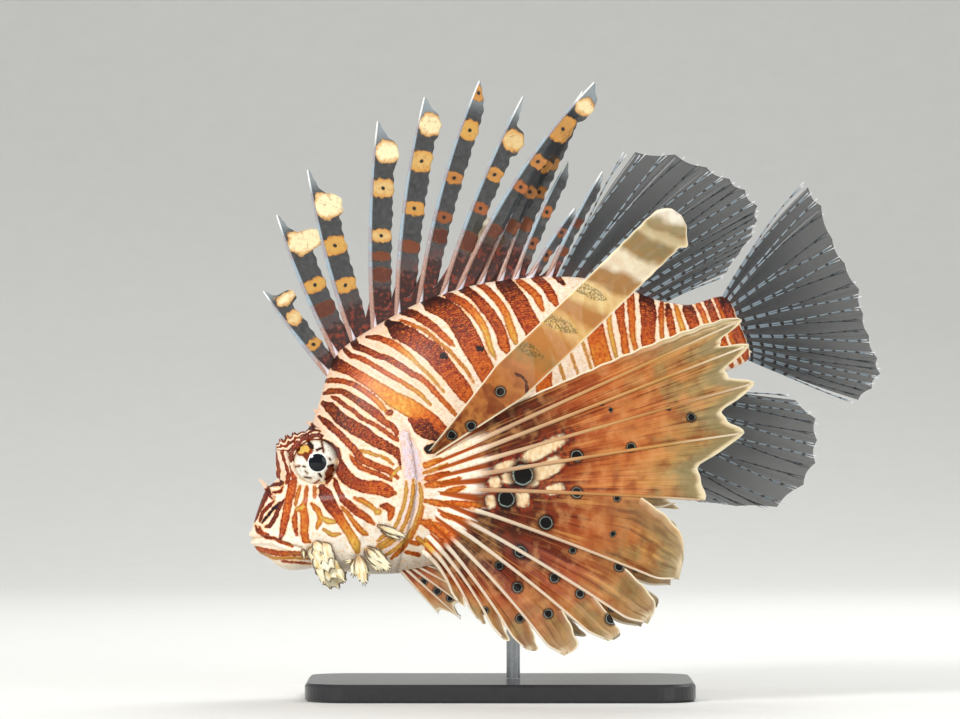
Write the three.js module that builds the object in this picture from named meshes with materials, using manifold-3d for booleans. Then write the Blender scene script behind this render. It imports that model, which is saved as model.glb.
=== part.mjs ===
// Red lionfish, an adult at life size, as a still display model on a plain stand.
// All sizes are millimetres. The fish is built level in a frame of its own and then tipped nose down:
// x runs back from the lips, y to the fish's right and z up, so its left side faces -Y.
import * as THREE from 'three';
import { mergeVertices } from 'three/addons/utils/BufferGeometryUtils.js';
import Module from 'manifold-3d';

const wasm = await Module();
wasm.setup();

// Driving dimensions
const GAP = 0.3;                 // clearance between pieces that touch
const SWIM_PITCH = 22;           // degrees, nose down
const BODY_LENGTH = 232;         // lips to the base of the tail fin
const BODY_SIDES = 24;
const BODY_STATIONS = 32;
const EYE = { x: 38.3, y: 12.8, z: 20.3, radius: 11 };
const BASE = { length: 170, width: 112, height: 8, corner: 18, bevel: 1.2 };
const ROD = { diameter: 6, along: 106 };
const LIPS_ABOVE_FLOOR = 70.4;
const LIPS_BEHIND_CENTRE = -108.2;
const MEMBRANE = 0.6;            // thickness of the web between fin rays

// Smooth line through [along, value] pairs that never overshoots them
function smoothLine(points) {
  const slopes = points.map((point, i) => {
    if (i === 0 || i === points.length - 1) return 0;
    const before = (point[1] - points[i - 1][1]) / (point[0] - points[i - 1][0]);
    const after = (points[i + 1][1] - point[1]) / (points[i + 1][0] - point[0]);
    return before * after <= 0 ? 0 : (2 * before * after) / (before + after);
  });
  const last = points.length - 1;
  slopes[0] = (points[1][1] - points[0][1]) / (points[1][0] - points[0][0]);
  slopes[last] = (points[last][1] - points[last - 1][1]) / (points[last][0] - points[last - 1][0]);
  return (along) => {
    const x = Math.min(Math.max(along, points[0][0]), points[last][0]);
    let i = 0;
    while (i < last - 1 && x > points[i + 1][0]) i += 1;
    const span = points[i + 1][0] - points[i][0];
    const t = (x - points[i][0]) / span;
    const u = 1 - t;
    return (1 + 2 * t) * u * u * points[i][1] + t * u * u * span * slopes[i]
      + t * t * (3 - 2 * t) * points[i + 1][1] - t * t * u * span * slopes[i + 1];
  };
}

// The body's outline: back, belly, widest half width, height of the widest place, fullness above it
const backLine = smoothLine([
  [0, 3], [6.5, 11], [13, 17.5], [19, 20], [23, 26], [29, 30.5], [38, 32.5], [46, 41], [57, 54.5],
  [66, 62], [84, 66], [108, 68.5], [128, 67], [150, 62], [172, 54], [190, 42.5], [206, 28.5],
  [218, 22.5], [232, 21.5],
]);
const bellyLine = smoothLine([
  [0, -8], [2.5, -11.5], [6, -17], [10.5, -20], [19, -22.5], [30, -28], [47, -36.5], [62, -41],
  [86, -43.5], [110, -41.5], [132, -36.5], [158, -28], [185, -20], [207, -13.5], [218, -10.5], [232, -9.5],
]);
const sideLine = smoothLine([
  [0, 6], [3, 8.5], [8, 11.5], [15, 14.5], [24, 17.5], [38, 20.5], [55, 24], [75, 26], [96, 25.5],
  [120, 22.5], [146, 18], [170, 12.5], [190, 8.5], [206, 6], [218, 4.4], [232, 3.2],
]);
const widestLine = smoothLine([
  [0, -2.5], [20, -1], [50, 2], [80, 8], [120, 14], [160, 14], [200, 8], [232, 6],
]);
const fullnessLine = smoothLine([[0, 1], [28, 0.7], [44, 0.75], [60, 1], [95, 1.2], [232, 1.15]]);
const BELLY_FULLNESS = 0.95;
const LIP_BULGE = 1.4;

function bodyPoint(x, turn, grow) {
  const up = Math.sin(turn);
  const out = Math.cos(turn);
  const middle = widestLine(x);
  const rise = up >= 0 ? backLine(x) - middle + grow : middle - bellyLine(x) + grow;
  const fullness = up >= 0 ? fullnessLine(x) : BELLY_FULLNESS;
  const y = (sideLine(x) + grow) * Math.sign(out) * Math.abs(out) ** fullness;
  return new THREE.Vector3(x, y, middle + rise * up);
}

// Half width of the body at a place on its side
function bodySide(x, z) {
  const middle = widestLine(x);
  const rise = z >= middle ? backLine(x) - middle : middle - bellyLine(x);
  const up = Math.min(Math.abs(z - middle) / rise, 1);
  const fullness = z >= middle ? fullnessLine(x) : BELLY_FULLNESS;
  return sideLine(x) * (1 - up * up) ** (fullness / 2);
}

// One closed surface through rings of points, with a point that closes each end
function loftRings(rings, firstTip, lastTip) {
  const sides = rings[0].length;
  const points = [...rings.flat(), firstTip, lastTip];
  const first = points.length - 2;
  const last = points.length - 1;
  const faces = [];
  for (let k = 0; k < sides; k += 1) {
    const next = (k + 1) % sides;
    for (let r = 0; r < rings.length - 1; r += 1) {
      const a = r * sides;
      const b = a + sides;
      faces.push(a + k, b + k, b + next, a + k, b + next, a + next);
    }
    const end = (rings.length - 1) * sides;
    faces.push(first, k, next, last, end + next, end + k);
  }
  return indexedGeometry(points, faces);
}

function indexedGeometry(points, faces) {
  const geometry = new THREE.BufferGeometry();
  geometry.setAttribute('position', new THREE.Float32BufferAttribute(points.flatMap((p) => p.toArray()), 3));
  geometry.setIndex(faces);
  return geometry;
}

// Solids for joining and cutting
function solidOf(geometry) {
  const bare = geometry.clone();
  bare.deleteAttribute('normal');
  bare.deleteAttribute('uv');
  const merged = mergeVertices(bare, 1e-4);
  const solid = new wasm.Manifold(new wasm.Mesh({
    numProp: 3,
    vertProperties: new Float32Array(merged.attributes.position.array),
    triVerts: new Uint32Array(merged.index.array),
  }));
  return solid.volume() < 0 ? turnedRound(merged) : solid;
}

function turnedRound(merged) {
  const faces = new Uint32Array(merged.index.array);
  for (let i = 0; i < faces.length; i += 3) [faces[i + 1], faces[i + 2]] = [faces[i + 2], faces[i + 1]];
  return new wasm.Manifold(new wasm.Mesh({
    numProp: 3,
    vertProperties: new Float32Array(merged.attributes.position.array),
    triVerts: faces,
  }));
}

function geometryOf(solid) {
  const mesh = solid.getMesh();
  const geometry = new THREE.BufferGeometry();
  geometry.setAttribute('position', new THREE.Float32BufferAttribute(mesh.vertProperties, 3));
  geometry.setIndex(Array.from(mesh.triVerts));
  geometry.computeVertexNormals();
  return geometry;
}

function joined(solids) {
  return solids.reduce((whole, solid) => whole.add(solid));
}

function largestBody(solid) {
  return solid.decompose().reduce((best, body) => (body.volume() > best.volume() ? body : best));
}

// A slab over the whole width of the fish, from an outline of [x, z] points seen from its side
function sideSlab(outline, from, to) {
  const shape = new THREE.Shape(outline.map(([x, z]) => new THREE.Vector2(x, z)));
  const slab = new THREE.ExtrudeGeometry(shape, { depth: to - from, bevelEnabled: false });
  return solidOf(slab.rotateX(Math.PI / 2).translate(0, to, 0));
}

function bodyStations() {
  const stations = [];
  for (let k = 0; k <= BODY_STATIONS; k += 1) stations.push(BODY_LENGTH * (k / BODY_STATIONS) ** 1.25);
  return stations;
}

function bodySolid(from, to, grow) {
  const rings = [];
  const inside = bodyStations().filter((x) => x > from + 1 && x < to - 1);
  for (const x of [from, ...inside, to]) {
    const ring = [];
    for (let k = 0; k < BODY_SIDES; k += 1) ring.push(bodyPoint(x, (2 * Math.PI * k) / BODY_SIDES, grow));
    rings.push(ring);
  }
  const middle = (x) => (backLine(x) + bellyLine(x)) / 2;
  const lips = from === 0 ? LIP_BULGE : 0;
  const nose = new THREE.Vector3(from - grow - lips, 0, middle(from));
  const rear = new THREE.Vector3(to + grow, 0, middle(to));
  return solidOf(loftRings(rings, nose, rear));
}

// A round limb through path points, with a radius at each
function taperedTube(path, radii, sides) {
  const rings = path.map((point, i) => {
    const ahead = path[Math.min(i + 1, path.length - 1)].clone().sub(path[Math.max(i - 1, 0)]).normalize();
    const side = new THREE.Vector3(0, 0, 1).cross(ahead).normalize();
    const up = ahead.clone().cross(side);
    const ring = [];
    for (let k = 0; k < sides; k += 1) {
      const turn = (2 * Math.PI * k) / sides;
      const out = side.clone().multiplyScalar(Math.cos(turn)).addScaledVector(up, Math.sin(turn));
      ring.push(point.clone().addScaledVector(out, radii[i]));
    }
    return ring;
  });
  return solidOf(loftRings(rings, path[0], path[path.length - 1]));
}

// Fins: a sheet over rays that fan from root to tip. A ray is a ridge raised in the sheet itself, and
// the web between two rays ends at a notch, past which each ray carries a lobe of its own.
function rayPoint(ray, v) {
  const u = 1 - v;
  return ray.root.clone().multiplyScalar(u * u)
    .addScaledVector(ray.bend, 2 * u * v)
    .addScaledVector(ray.tip, v * v);
}

function rayAlong(ray, v) {
  return ray.bend.clone().sub(ray.root).multiplyScalar(1 - v)
    .addScaledVector(ray.tip.clone().sub(ray.bend), v)
    .normalize();
}

// The way across a ray, towards the next ray of its fin
function rayAcross(rays, i, v) {
  const along = rayAlong(rays[i], v);
  const towards = rays[i].across
    ? rays[i].across.clone()
    : rayPoint(rays[Math.min(i + 1, rays.length - 1)], v).sub(rayPoint(rays[Math.max(i - 1, 0)], v));
  return towards.addScaledVector(along, -towards.dot(along)).normalize();
}

function spaceBetween(rays, i, j, v) {
  if (i < 0 || j < 0 || i >= rays.length || j >= rays.length) return Infinity;
  return rayPoint(rays[i], v).distanceTo(rayPoint(rays[j], v));
}

// section(v, i, before, after) gives [offset across, thickness] pairs from one edge of a ray to the
// other, and lay(point) brings a point that stands inside the body out to its surface
function finSheet(rays, rows, section, lay) {
  const points = [];
  const thickness = [];
  const columns = [];
  rays.forEach((ray, i) => {
    const start = points.length;
    for (let k = 0; k <= rows; k += 1) {
      const v = k / rows;
      const across = rayAcross(rays, i, v);
      const middle = rayPoint(ray, v);
      const cuts = section(v, i, spaceBetween(rays, i, i - 1, v), spaceBetween(rays, i, i + 1, v));
      for (const [offset, thick] of cuts) {
        points.push(middle.clone().addScaledVector(across, offset));
        thickness.push(thick);
      }
    }
    columns.push({ start, count: (points.length - start) / (rows + 1) });
  });
  const faces = [];
  const quad = (a, b, c, d) => faces.push(a, b, c, a, c, d);
  columns.forEach(({ start, count }, i) => {
    const next = columns[i + 1];
    for (let k = 0; k < rows; k += 1) {
      const a = start + k * count;
      for (let c = 0; c < count - 1; c += 1) quad(a + c, a + c + 1, a + count + c + 1, a + count + c);
      const webbed = next && (k + 1) / rows <= rays[i].notch + 1e-6;
      if (webbed) {
        const b = next.start + k * next.count;
        quad(a + count - 1, b, b + next.count, a + 2 * count - 1);
      }
    }
  });
  return thickSheet(points, faces, thickness, lay);
}

// Both faces of a sheet, alike in their triangles, with walls along its open edges
function thickSheet(points, faces, thickness, lay) {
  const middle = indexedGeometry(points, faces);
  middle.computeVertexNormals();
  const normals = middle.attributes.normal;
  const count = points.length;
  const both = [1, -1].flatMap((side) => points.map((point, i) => {
    const normal = new THREE.Vector3().fromBufferAttribute(normals, i);
    const face = point.clone().addScaledVector(normal, (side * thickness[i]) / 2);
    if (lay) lay(face);
    return face;
  }));
  const edges = new Set();
  for (let i = 0; i < faces.length; i += 3) {
    for (let j = 0; j < 3; j += 1) edges.add(`${faces[i + j]} ${faces[i + ((j + 1) % 3)]}`);
  }
  const closed = [...faces];
  for (let i = 0; i < faces.length; i += 3) {
    closed.push(faces[i] + count, faces[i + 2] + count, faces[i + 1] + count);
  }
  for (const edge of edges) {
    const [a, b] = edge.split(' ').map(Number);
    if (!edges.has(`${b} ${a}`)) closed.push(b, a, a + count, b, a + count, b + count);
  }
  return solidOf(indexedGeometry(both, closed));
}

// The body's outline as its facets have it, a gap away, for the roots of the fins
function facetLine(line, gap) {
  const points = bodyStations().map((x) => [x, line(x) + gap]);
  return (along) => {
    const i = Math.max(1, points.findIndex(([x]) => x >= along));
    const [[x0, z0], [x1, z1]] = [points[i - 1], points[i]];
    return z0 + ((z1 - z0) * (along - x0)) / (x1 - x0);
  };
}

const backFacets = facetLine(backLine, GAP + 0.05);
const bellyFacets = facetLine(bellyLine, -GAP - 0.05);

function layOnBack(point) {
  if (point.x < BODY_LENGTH) point.z = Math.max(point.z, backFacets(point.x));
}

function layOnBelly(point) {
  if (point.x < BODY_LENGTH) point.z = Math.min(point.z, bellyFacets(point.x));
}

function layOnTail(point) {
  point.x = Math.max(point.x, BODY_LENGTH + GAP);
}

function layOnSide(point) {
  const rise = point.z > widestLine(point.x) ? backLine(point.x) : bellyLine(point.x);
  if (Math.abs(point.z - widestLine(point.x)) > Math.abs(rise - widestLine(point.x))) return;
  const least = bodySide(point.x, point.z) + GAP + 0.1;
  if (Math.abs(point.y) < least) point.y = Math.sign(point.y) * least;
}

// Fins on the middle line: x and z of a ray's root, its length, its angle above the body's axis, its
// lean to the right at the tip, its bow as a share of its length, the breadth of a spine's vane, and
// whether the next ray stands below its upper side (1) or above it (-1)
function midlineRay({ x, z, length, angle, lean = 0, bow = 0, notch, vane = 0, below = 1 }) {
  const turn = THREE.MathUtils.degToRad(angle);
  const along = new THREE.Vector3(Math.cos(turn), 0, Math.sin(turn));
  const upward = new THREE.Vector3(-Math.sin(turn), 0, Math.cos(turn));
  const root = new THREE.Vector3(x, 0, z);
  const tip = new THREE.Vector3(x, lean, z).addScaledVector(along, length);
  const bend = root.clone().lerp(tip, 0.5).addScaledVector(upward, bow * length);
  return { root, bend, tip, notch, vane, across: upward.clone().multiplyScalar(-below) };
}

const DORSAL_SPINES = [
  { x: 57, z: 54.5, length: 46, angle: 106, bow: 0.03, vane: 8 },
  { x: 63.5, z: 60.5, length: 67, angle: 91, bow: 0.05, vane: 11 },
  { x: 72.8, z: 63.5, length: 78, angle: 83, bow: 0.05, vane: 11 },
  { x: 83.4, z: 65.5, length: 91, angle: 67, bow: 0.05, vane: 10.5 },
  { x: 95.4, z: 67.3, length: 96, angle: 61, bow: 0.06, vane: 10 },
  { x: 106.3, z: 68.2, length: 101, angle: 53, lean: -2, bow: 0.07, vane: 8.5 },
  { x: 117.5, z: 68.3, length: 93, angle: 46, lean: -5, bow: 0.05, vane: 8 },
  { x: 125, z: 67.2, length: 108, angle: 35, lean: -9, bow: 0.1, vane: 7.5 },
  { x: 134, z: 66, length: 96, angle: 40, lean: 3, bow: 0.06, vane: 7 },
  { x: 142.6, z: 64, length: 86, angle: 45, lean: 13, bow: 0.05, vane: 6.5 },
  { x: 149, z: 62.3, length: 57, angle: 44, lean: 7, bow: 0.05, vane: 5 },
  { x: 155.5, z: 60.6, length: 36, angle: 35, lean: 2, bow: 0.04, vane: 4 },
  { x: 163, z: 57.6, length: 52, angle: 41, bow: 0.04, vane: 4 },
];
const SOFT_DORSAL_RAYS = [
  { x: 168, z: 55.6, length: 65, angle: 37, bow: 0.06 },
  { x: 173.5, z: 53.2, length: 71, angle: 28.5, bow: 0.06 },
  { x: 178.5, z: 50.4, length: 73, angle: 21, bow: 0.05 },
  { x: 183, z: 47.6, length: 74, angle: 16, bow: 0.04 },
  { x: 187.5, z: 44.5, length: 73, angle: 13, bow: 0.03 },
  { x: 192, z: 40.8, length: 70, angle: 9.5, bow: 0.02 },
  { x: 196, z: 37.6, length: 63, angle: 8, bow: 0.02 },
  { x: 200, z: 34, length: 54, angle: 7, bow: 0.02 },
  { x: 203.2, z: 31.2, length: 42, angle: 6, bow: 0.02 },
  { x: 206, z: 28.5, length: 31, angle: 3, bow: 0.02 },
];
const TAIL_RAYS = [
  { x: 231.5, z: 19.8, length: 62, angle: 31, bow: 0.1 },
  { x: 232, z: 17.5, length: 60, angle: 24, bow: 0.07 },
  { x: 232, z: 15, length: 55, angle: 12, bow: 0.03 },
  { x: 232, z: 11.5, length: 55, angle: 3, bow: 0.01 },
  { x: 232, z: 8.2, length: 57, angle: -7 },
  { x: 232, z: 5, length: 56, angle: -15 },
  { x: 232, z: 1.8, length: 57, angle: -22, bow: -0.01 },
  { x: 232, z: -1.2, length: 60, angle: -29, bow: -0.01 },
  { x: 232, z: -3.8, length: 61, angle: -33, bow: -0.02 },
  { x: 231.5, z: -6, length: 58, angle: -38, bow: -0.03 },
  { x: 231, z: -8, length: 53, angle: -43, bow: -0.04 },
];
const ANAL_RAYS = [
  { x: 159.6, z: -27.2, length: 43, angle: -49, bow: -0.04 },
  { x: 168, z: -24.8, length: 55, angle: -51, bow: -0.05 },
  { x: 175.4, z: -22.6, length: 68, angle: -50, bow: -0.06 },
  { x: 182.6, z: -20.6, length: 71, angle: -44, bow: -0.05 },
  { x: 189.2, z: -18.6, length: 69, angle: -40, bow: -0.03 },
  { x: 195.5, z: -16.8, length: 63, angle: -36, bow: -0.02 },
  { x: 201.8, z: -15, length: 56, angle: -32 },
  { x: 207.2, z: -13.3, length: 42, angle: -29 },
];
const SOFT_NOTCH = 0.8;
const SPINE_NOTCH = 1 / 7;

// Pectoral fins: the tip of each ray from the top one down, as x, z and how far out it stands, and
// the share of its length at which the web to the next ray ends
const PECTORAL_BASE = { top: [85.5, 4.5], bottom: [67, -33], bulge: 4, sunk: 3, flesh: 4.5 };
const BLADE_HALF = 9.5;
const BLADE_NOTCH = 1 / 7;
const UPPER_NOTCH = 6 / 7;
const LOWER_NOTCH = 5 / 7;
const LOBE_ROUNDING = 0.8;
const LEFT_PECTORAL_RAYS = [
  { x: 224, z: 60, out: 92, notch: BLADE_NOTCH }, { x: 231, z: 9, out: 98, notch: UPPER_NOTCH },
  { x: 230, z: -2, out: 99, notch: UPPER_NOTCH }, { x: 226, z: -18, out: 100, notch: UPPER_NOTCH },
  { x: 214, z: -36, out: 98, notch: UPPER_NOTCH }, { x: 188, z: -56.5, out: 90, notch: LOWER_NOTCH },
  { x: 163, z: -86.5, out: 80, notch: LOWER_NOTCH }, { x: 143, z: -98.5, out: 74, notch: LOWER_NOTCH },
  { x: 124, z: -97.5, out: 68, notch: LOWER_NOTCH }, { x: 104, z: -96.5, out: 62, notch: LOWER_NOTCH },
  { x: 90.5, z: -86.5, out: 56, notch: LOWER_NOTCH }, { x: 83.5, z: -78.5, out: 51, notch: LOWER_NOTCH },
  { x: 77, z: -66, out: 45, notch: LOWER_NOTCH }, { x: 72, z: -56.5, out: 38, notch: 0 },
];
const RIGHT_PECTORAL_RAYS = [
  { x: 150, z: 92.5, out: 104, notch: BLADE_NOTCH }, { x: 166, z: 40, out: 118, notch: UPPER_NOTCH },
  { x: 172, z: 18, out: 120, notch: UPPER_NOTCH }, { x: 180, z: -5, out: 120, notch: UPPER_NOTCH },
  { x: 184, z: -28, out: 116, notch: UPPER_NOTCH }, { x: 184, z: -48, out: 110, notch: UPPER_NOTCH },
  { x: 180, z: -62, out: 104, notch: LOWER_NOTCH }, { x: 174, z: -75, out: 98, notch: LOWER_NOTCH },
  { x: 170, z: -84, out: 92, notch: LOWER_NOTCH }, { x: 161, z: -94, out: 86, notch: LOWER_NOTCH },
  { x: 151, z: -100, out: 80, notch: LOWER_NOTCH }, { x: 141, z: -105, out: 74, notch: LOWER_NOTCH },
  { x: 127, z: -104, out: 67, notch: LOWER_NOTCH }, { x: 112, z: -94, out: 60, notch: 0 },
];
const PELVIC_RAYS = [
  { x: 52, z: -36.5, length: 27, angle: -66, out: 13 }, { x: 54, z: -37.5, length: 34, angle: -60, out: 15 },
  { x: 56, z: -38.2, length: 29, angle: -52, out: 13 }, { x: 58, z: -39, length: 22, angle: -42, out: 11 },
  { x: 60, z: -39.6, length: 13, angle: -25, out: 8 },
];

function pectoralRays(table, side) {
  const { top, bottom, bulge, sunk } = PECTORAL_BASE;
  return table.map(({ x, z, out, notch }, i) => {
    const share = i / (table.length - 1);
    const rootX = top[0] + (bottom[0] - top[0]) * share + bulge * Math.sin(Math.PI * share);
    const rootZ = top[1] + (bottom[1] - top[1]) * share;
    const root = new THREE.Vector3(rootX, side * (bodySide(rootX, rootZ) - sunk), rootZ);
    const tip = new THREE.Vector3(x, side * out, z);
    const bend = root.clone().lerp(tip, 0.5).add(new THREE.Vector3(4, side * 6, 0));
    return { root, bend, tip, notch };
  });
}

function pelvicRays(side) {
  const inside = { y: 5, z: 5 };
  return PELVIC_RAYS.map(({ x, z, length, angle, out }) => {
    const turn = THREE.MathUtils.degToRad(angle);
    const root = new THREE.Vector3(x, side * inside.y, z + inside.z);
    const tip = new THREE.Vector3(x + length * Math.cos(turn), side * out, z + length * Math.sin(turn));
    return { root, bend: root.clone().lerp(tip, 0.5), tip, notch: 0.8 };
  });
}

const mix = (from, to, share) => from + (to - from) * share;

// A soft ray with its web, as [offset, thickness] pairs like every section
function softSection(v) {
  const half = mix(0.9, 0.4, v);
  return [[-half, MEMBRANE], [0, mix(1.8, 0.9, v)], [half, MEMBRANE]];
}

// A spine: a stiff shaft at the front and a vane behind it that is broadest near the top
const vaneShape = smoothLine([
  [0, 0.4], [0.12, 0.8], [0.4, 0.88], [0.7, 0.95], [0.78, 1.15], [0.88, 0.7], [1, 0.06],
]);

function spineSection(rays) {
  return (v, i, before, after) => {
    const half = mix(1.2, 0.35, v);
    const near = v < 0.3 ? 0.8 * after : Infinity;
    const vane = Math.max(Math.min(rays[i].vane * vaneShape(v), near), half + 0.25);
    return [[-half, 0.9], [0, mix(2.4, 0.9, v)], [half, MEMBRANE + 0.1], [vane, MEMBRANE]];
  };
}

// A pectoral ray stands at the lower edge of its lobe; the first one is a long free blade
function lobeEnd(v, notch) {
  const share = Math.max(0, (v - notch) / (1 - notch));
  return Math.sqrt(1 - LOBE_ROUNDING * share ** 3);
}

function pectoralSection(rays) {
  const upperNotch = (i) => (i === 0 ? 0 : rays[i - 1].notch);
  const widthAtNotch = (i) => 0.84 * spaceBetween(rays, i, i - 1, upperNotch(i));
  return (v, i, before, after) => {
    const half = Math.min(mix(1.1, 0.5, v), 0.2 * before, 0.2 * after);
    const flesh = PECTORAL_BASE.flesh * Math.max(0, 1 - v / 0.25);
    const web = MEMBRANE + flesh;
    const blade = BLADE_HALF * Math.min(1, 0.12 + v / 0.35) * lobeEnd(v, 0.7);
    const webbed = Math.min(0.84 * before, before - 2 * half);
    let upper = v <= upperNotch(i) ? webbed : widthAtNotch(i) * lobeEnd(v, upperNotch(i));
    if (i === 0) upper = blade;
    const least = 1.3 * half;
    const lower = i === 0 && v > rays[0].notch ? blade : least;
    const ridge = mix(2, 1.1, v) + flesh;
    return [[-Math.max(upper, least), web], [-half, web], [0, ridge], [Math.max(lower, least), web]];
  };
}

// Leafy flaps of skin along the cheek: where each grows, where its end is, and its half breadth
const CHEEK_FLAPS = [
  { from: [27, -13.5], to: [27.5, -34], half: 5.5, out: 8 },
  { from: [40, -23.5], to: [37.5, -35.5], half: 4, out: 5 },
  { from: [44.3, -21.5], to: [49.2, -34.2], half: 4, out: 6 },
];
const GILL_FLAP = { from: [54.5, -15.5], to: [61, -23.5], half: 2.4, out: 4 };

function leafFlap({ from, to, half, out }, side) {
  const length = Math.hypot(to[0] - from[0], to[1] - from[1]);
  const along = new THREE.Vector3((to[0] - from[0]) / length, 0, (to[1] - from[1]) / length);
  const across = new THREE.Vector3(-along.z, 0, along.x);
  const base = bodySide(from[0], from[1]);
  const rays = [-1, -0.5, 0, 0.5, 1].map((share) => {
    const root = new THREE.Vector3(from[0], side * (base - 1.5), from[1])
      .addScaledVector(across, 0.5 * share * half);
    const reach = length * (1 - 0.35 * share * share);
    const tip = new THREE.Vector3(from[0], side * (base + out), from[1])
      .addScaledVector(along, reach)
      .addScaledVector(across, 0.7 * share * half);
    const bend = root.clone().lerp(tip, 0.5).addScaledVector(across, 0.9 * share * half);
    return { root, bend, tip, notch: 1 };
  });
  return finSheet(rays, 3, (v) => [[0, mix(2, 0.8, v)]]);
}

// Where the head ends and the torso starts, and the line of the mouth, seen from the side
function headOutline(shift) {
  const seam = [[55, 90], [57, 46], [66, 20], [63, 0], [52, -30], [47, -60]];
  return [[-20, -60], [-20, 90], ...seam.map(([x, z]) => [x + shift, z])].reverse();
}

function jawOutline(shift) {
  const mouth = [
    [-20, 6.7], [0.1, 1.4], [7.4, -4], [15.6, -9.6], [21.4, -13.9], [24.5, -17.5], [26, -23], [26, -60],
  ];
  return [[-20, -60], ...mouth.map(([x, z]) => [x + shift, z + shift]).reverse()];
}

const GILL_COVER_OUTLINE = [
  [54, 16], [60, 21], [70, 22.5], [81, 17.5], [78, 8], [75.5, -4], [68, -16], [58, -28.5], [54, -31],
  [52, -24], [53, -8],
];
const GILL_COVER_THICKNESS = 1.2;
const MOUTH_LINE = [[20.5, -12.6], [15.6, -8.6], [7.4, -3], [1, 1.6]];
const WIDE = 80;
const INNERMOST = 5;

function eyeBall(side, grow) {
  const ball = new THREE.SphereGeometry(EYE.radius + grow, 16, 10);
  return solidOf(ball.translate(EYE.x, side * EYE.y, EYE.z));
}

function eyeLid(side) {
  const lid = new THREE.TorusGeometry(10.4, 1.6, 6, 18);
  return solidOf(lid.rotateX(Math.PI / 2).translate(EYE.x, side * 17.2, EYE.z));
}

function browRidge(side) {
  const path = [[22, 8, 24], [27, 12, 31], [34, 14.5, 33], [41, 15.5, 33.5], [46, 15, 36]];
  return taperedTube(path.map(([x, y, z]) => new THREE.Vector3(x, side * y, z)), [1.5, 3.2, 3, 2.6, 1], 7);
}

function nostril(side) {
  const [x, z, radius] = [17, 15, 1.1];
  return solidOf(new THREE.SphereGeometry(radius, 8, 6).translate(x, side * bodySide(x, z), z));
}

function nasalFlap(side) {
  const path = [[14, 4, 16], [13.2, 4.6, 19.5], [11.8, 5.2, 22]];
  return taperedTube(path.map(([x, y, z]) => new THREE.Vector3(x, side * y, z)), [1.6, 1.1, 0.3], 6);
}

function lip(drop, radius) {
  const half = MOUTH_LINE.map(([x, z]) => [x, bodySide(x, z + drop), z + drop]);
  const left = half.map(([x, y, z]) => new THREE.Vector3(x, -y, z));
  const right = half.map(([x, y, z]) => new THREE.Vector3(x, y, z)).reverse();
  const path = [...left, ...right];
  const radii = path.map((_, i) => (i === 0 || i === path.length - 1 ? 0.6 * radius : radius));
  return taperedTube(path, radii, 6);
}

function buildHead() {
  const flesh = bodySolid(0, 75, 0).intersect(sideSlab(headOutline(-GAP / 2), -WIDE, WIDE));
  const forms = [flesh, lip(1.3, 1.4)];
  for (const side of [-1, 1]) {
    forms.push(browRidge(side), eyeLid(side), nasalFlap(side));
    for (const flap of CHEEK_FLAPS) forms.push(leafFlap(flap, side));
  }
  let head = joined(forms).subtract(sideSlab(jawOutline(GAP * 0.4), -WIDE, WIDE));
  for (const side of [-1, 1]) head = head.subtract(eyeBall(side, GAP)).subtract(nostril(side));
  return largestBody(head);
}

function buildJaw() {
  const flesh = bodySolid(0, 36, 0).add(lip(-2.4, 1.4));
  return largestBody(flesh.intersect(sideSlab(jawOutline(-GAP * 0.4), -WIDE, WIDE)));
}

function buildGillCover(side) {
  const shell = bodySolid(30, 100, GAP + GILL_COVER_THICKNESS).subtract(bodySolid(29, 101, GAP));
  const [from, to] = side < 0 ? [-WIDE, -INNERMOST] : [INNERMOST, WIDE];
  const slab = sideSlab(GILL_COVER_OUTLINE, from, to);
  return largestBody(shell.intersect(slab).add(leafFlap(GILL_FLAP, side)).subtract(bodyGrown));
}

const TORSO_END = 208;
const headSpace = sideSlab(headOutline(GAP / 2), -WIDE, WIDE);
const torso = largestBody(bodySolid(40, TORSO_END, 0).subtract(headSpace));
const tailStalk = bodySolid(TORSO_END + GAP + 0.01, BODY_LENGTH, 0);
const bodyGrown = bodySolid(0, BODY_LENGTH, GAP);

const model = new THREE.Group();
const fish = new THREE.Group();
fish.position.set(LIPS_BEHIND_CENTRE, 0, LIPS_ABOVE_FLOOR);
fish.rotation.y = THREE.MathUtils.degToRad(-SWIM_PITCH);
model.add(fish);

function addPart(group, name, solid, color, roughness) {
  const material = new THREE.MeshStandardMaterial({ color, roughness, metalness: 0 });
  const mesh = new THREE.Mesh(geometryOf(solid), material);
  mesh.name = name;
  group.add(mesh);
}

const SKIN = 0xd9935f;
const FIN = 0xc07a3e;
const CLEAR_FIN = 0x6b6f78;
const EYE_WHITE = 0xefe3cd;

addPart(fish, 'head', buildHead(), SKIN, 0.5);
addPart(fish, 'lower_jaw', buildJaw(), SKIN, 0.5);
addPart(fish, 'torso', torso, SKIN, 0.5);
addPart(fish, 'tail_stalk', tailStalk, SKIN, 0.5);

const SOFT_ROWS = 5;
const STIFF_ROWS = 7;

function midlineFin(table, lay, below = 1) {
  const rays = table.map((row) => midlineRay({ notch: SOFT_NOTCH, below, ...row }));
  return finSheet(rays, SOFT_ROWS, softSection, lay);
}

function spinyDorsal() {
  const rays = DORSAL_SPINES.map((row) => midlineRay({ notch: SPINE_NOTCH, ...row }));
  return finSheet(rays, STIFF_ROWS, spineSection(rays), layOnBack);
}

function pelvicFin(side) {
  return largestBody(finSheet(pelvicRays(side), SOFT_ROWS, softSection).subtract(bodyGrown));
}

function pectoralFin(table, side) {
  const rays = pectoralRays(table, side);
  return finSheet(rays, STIFF_ROWS, pectoralSection(rays), layOnSide);
}

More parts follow.
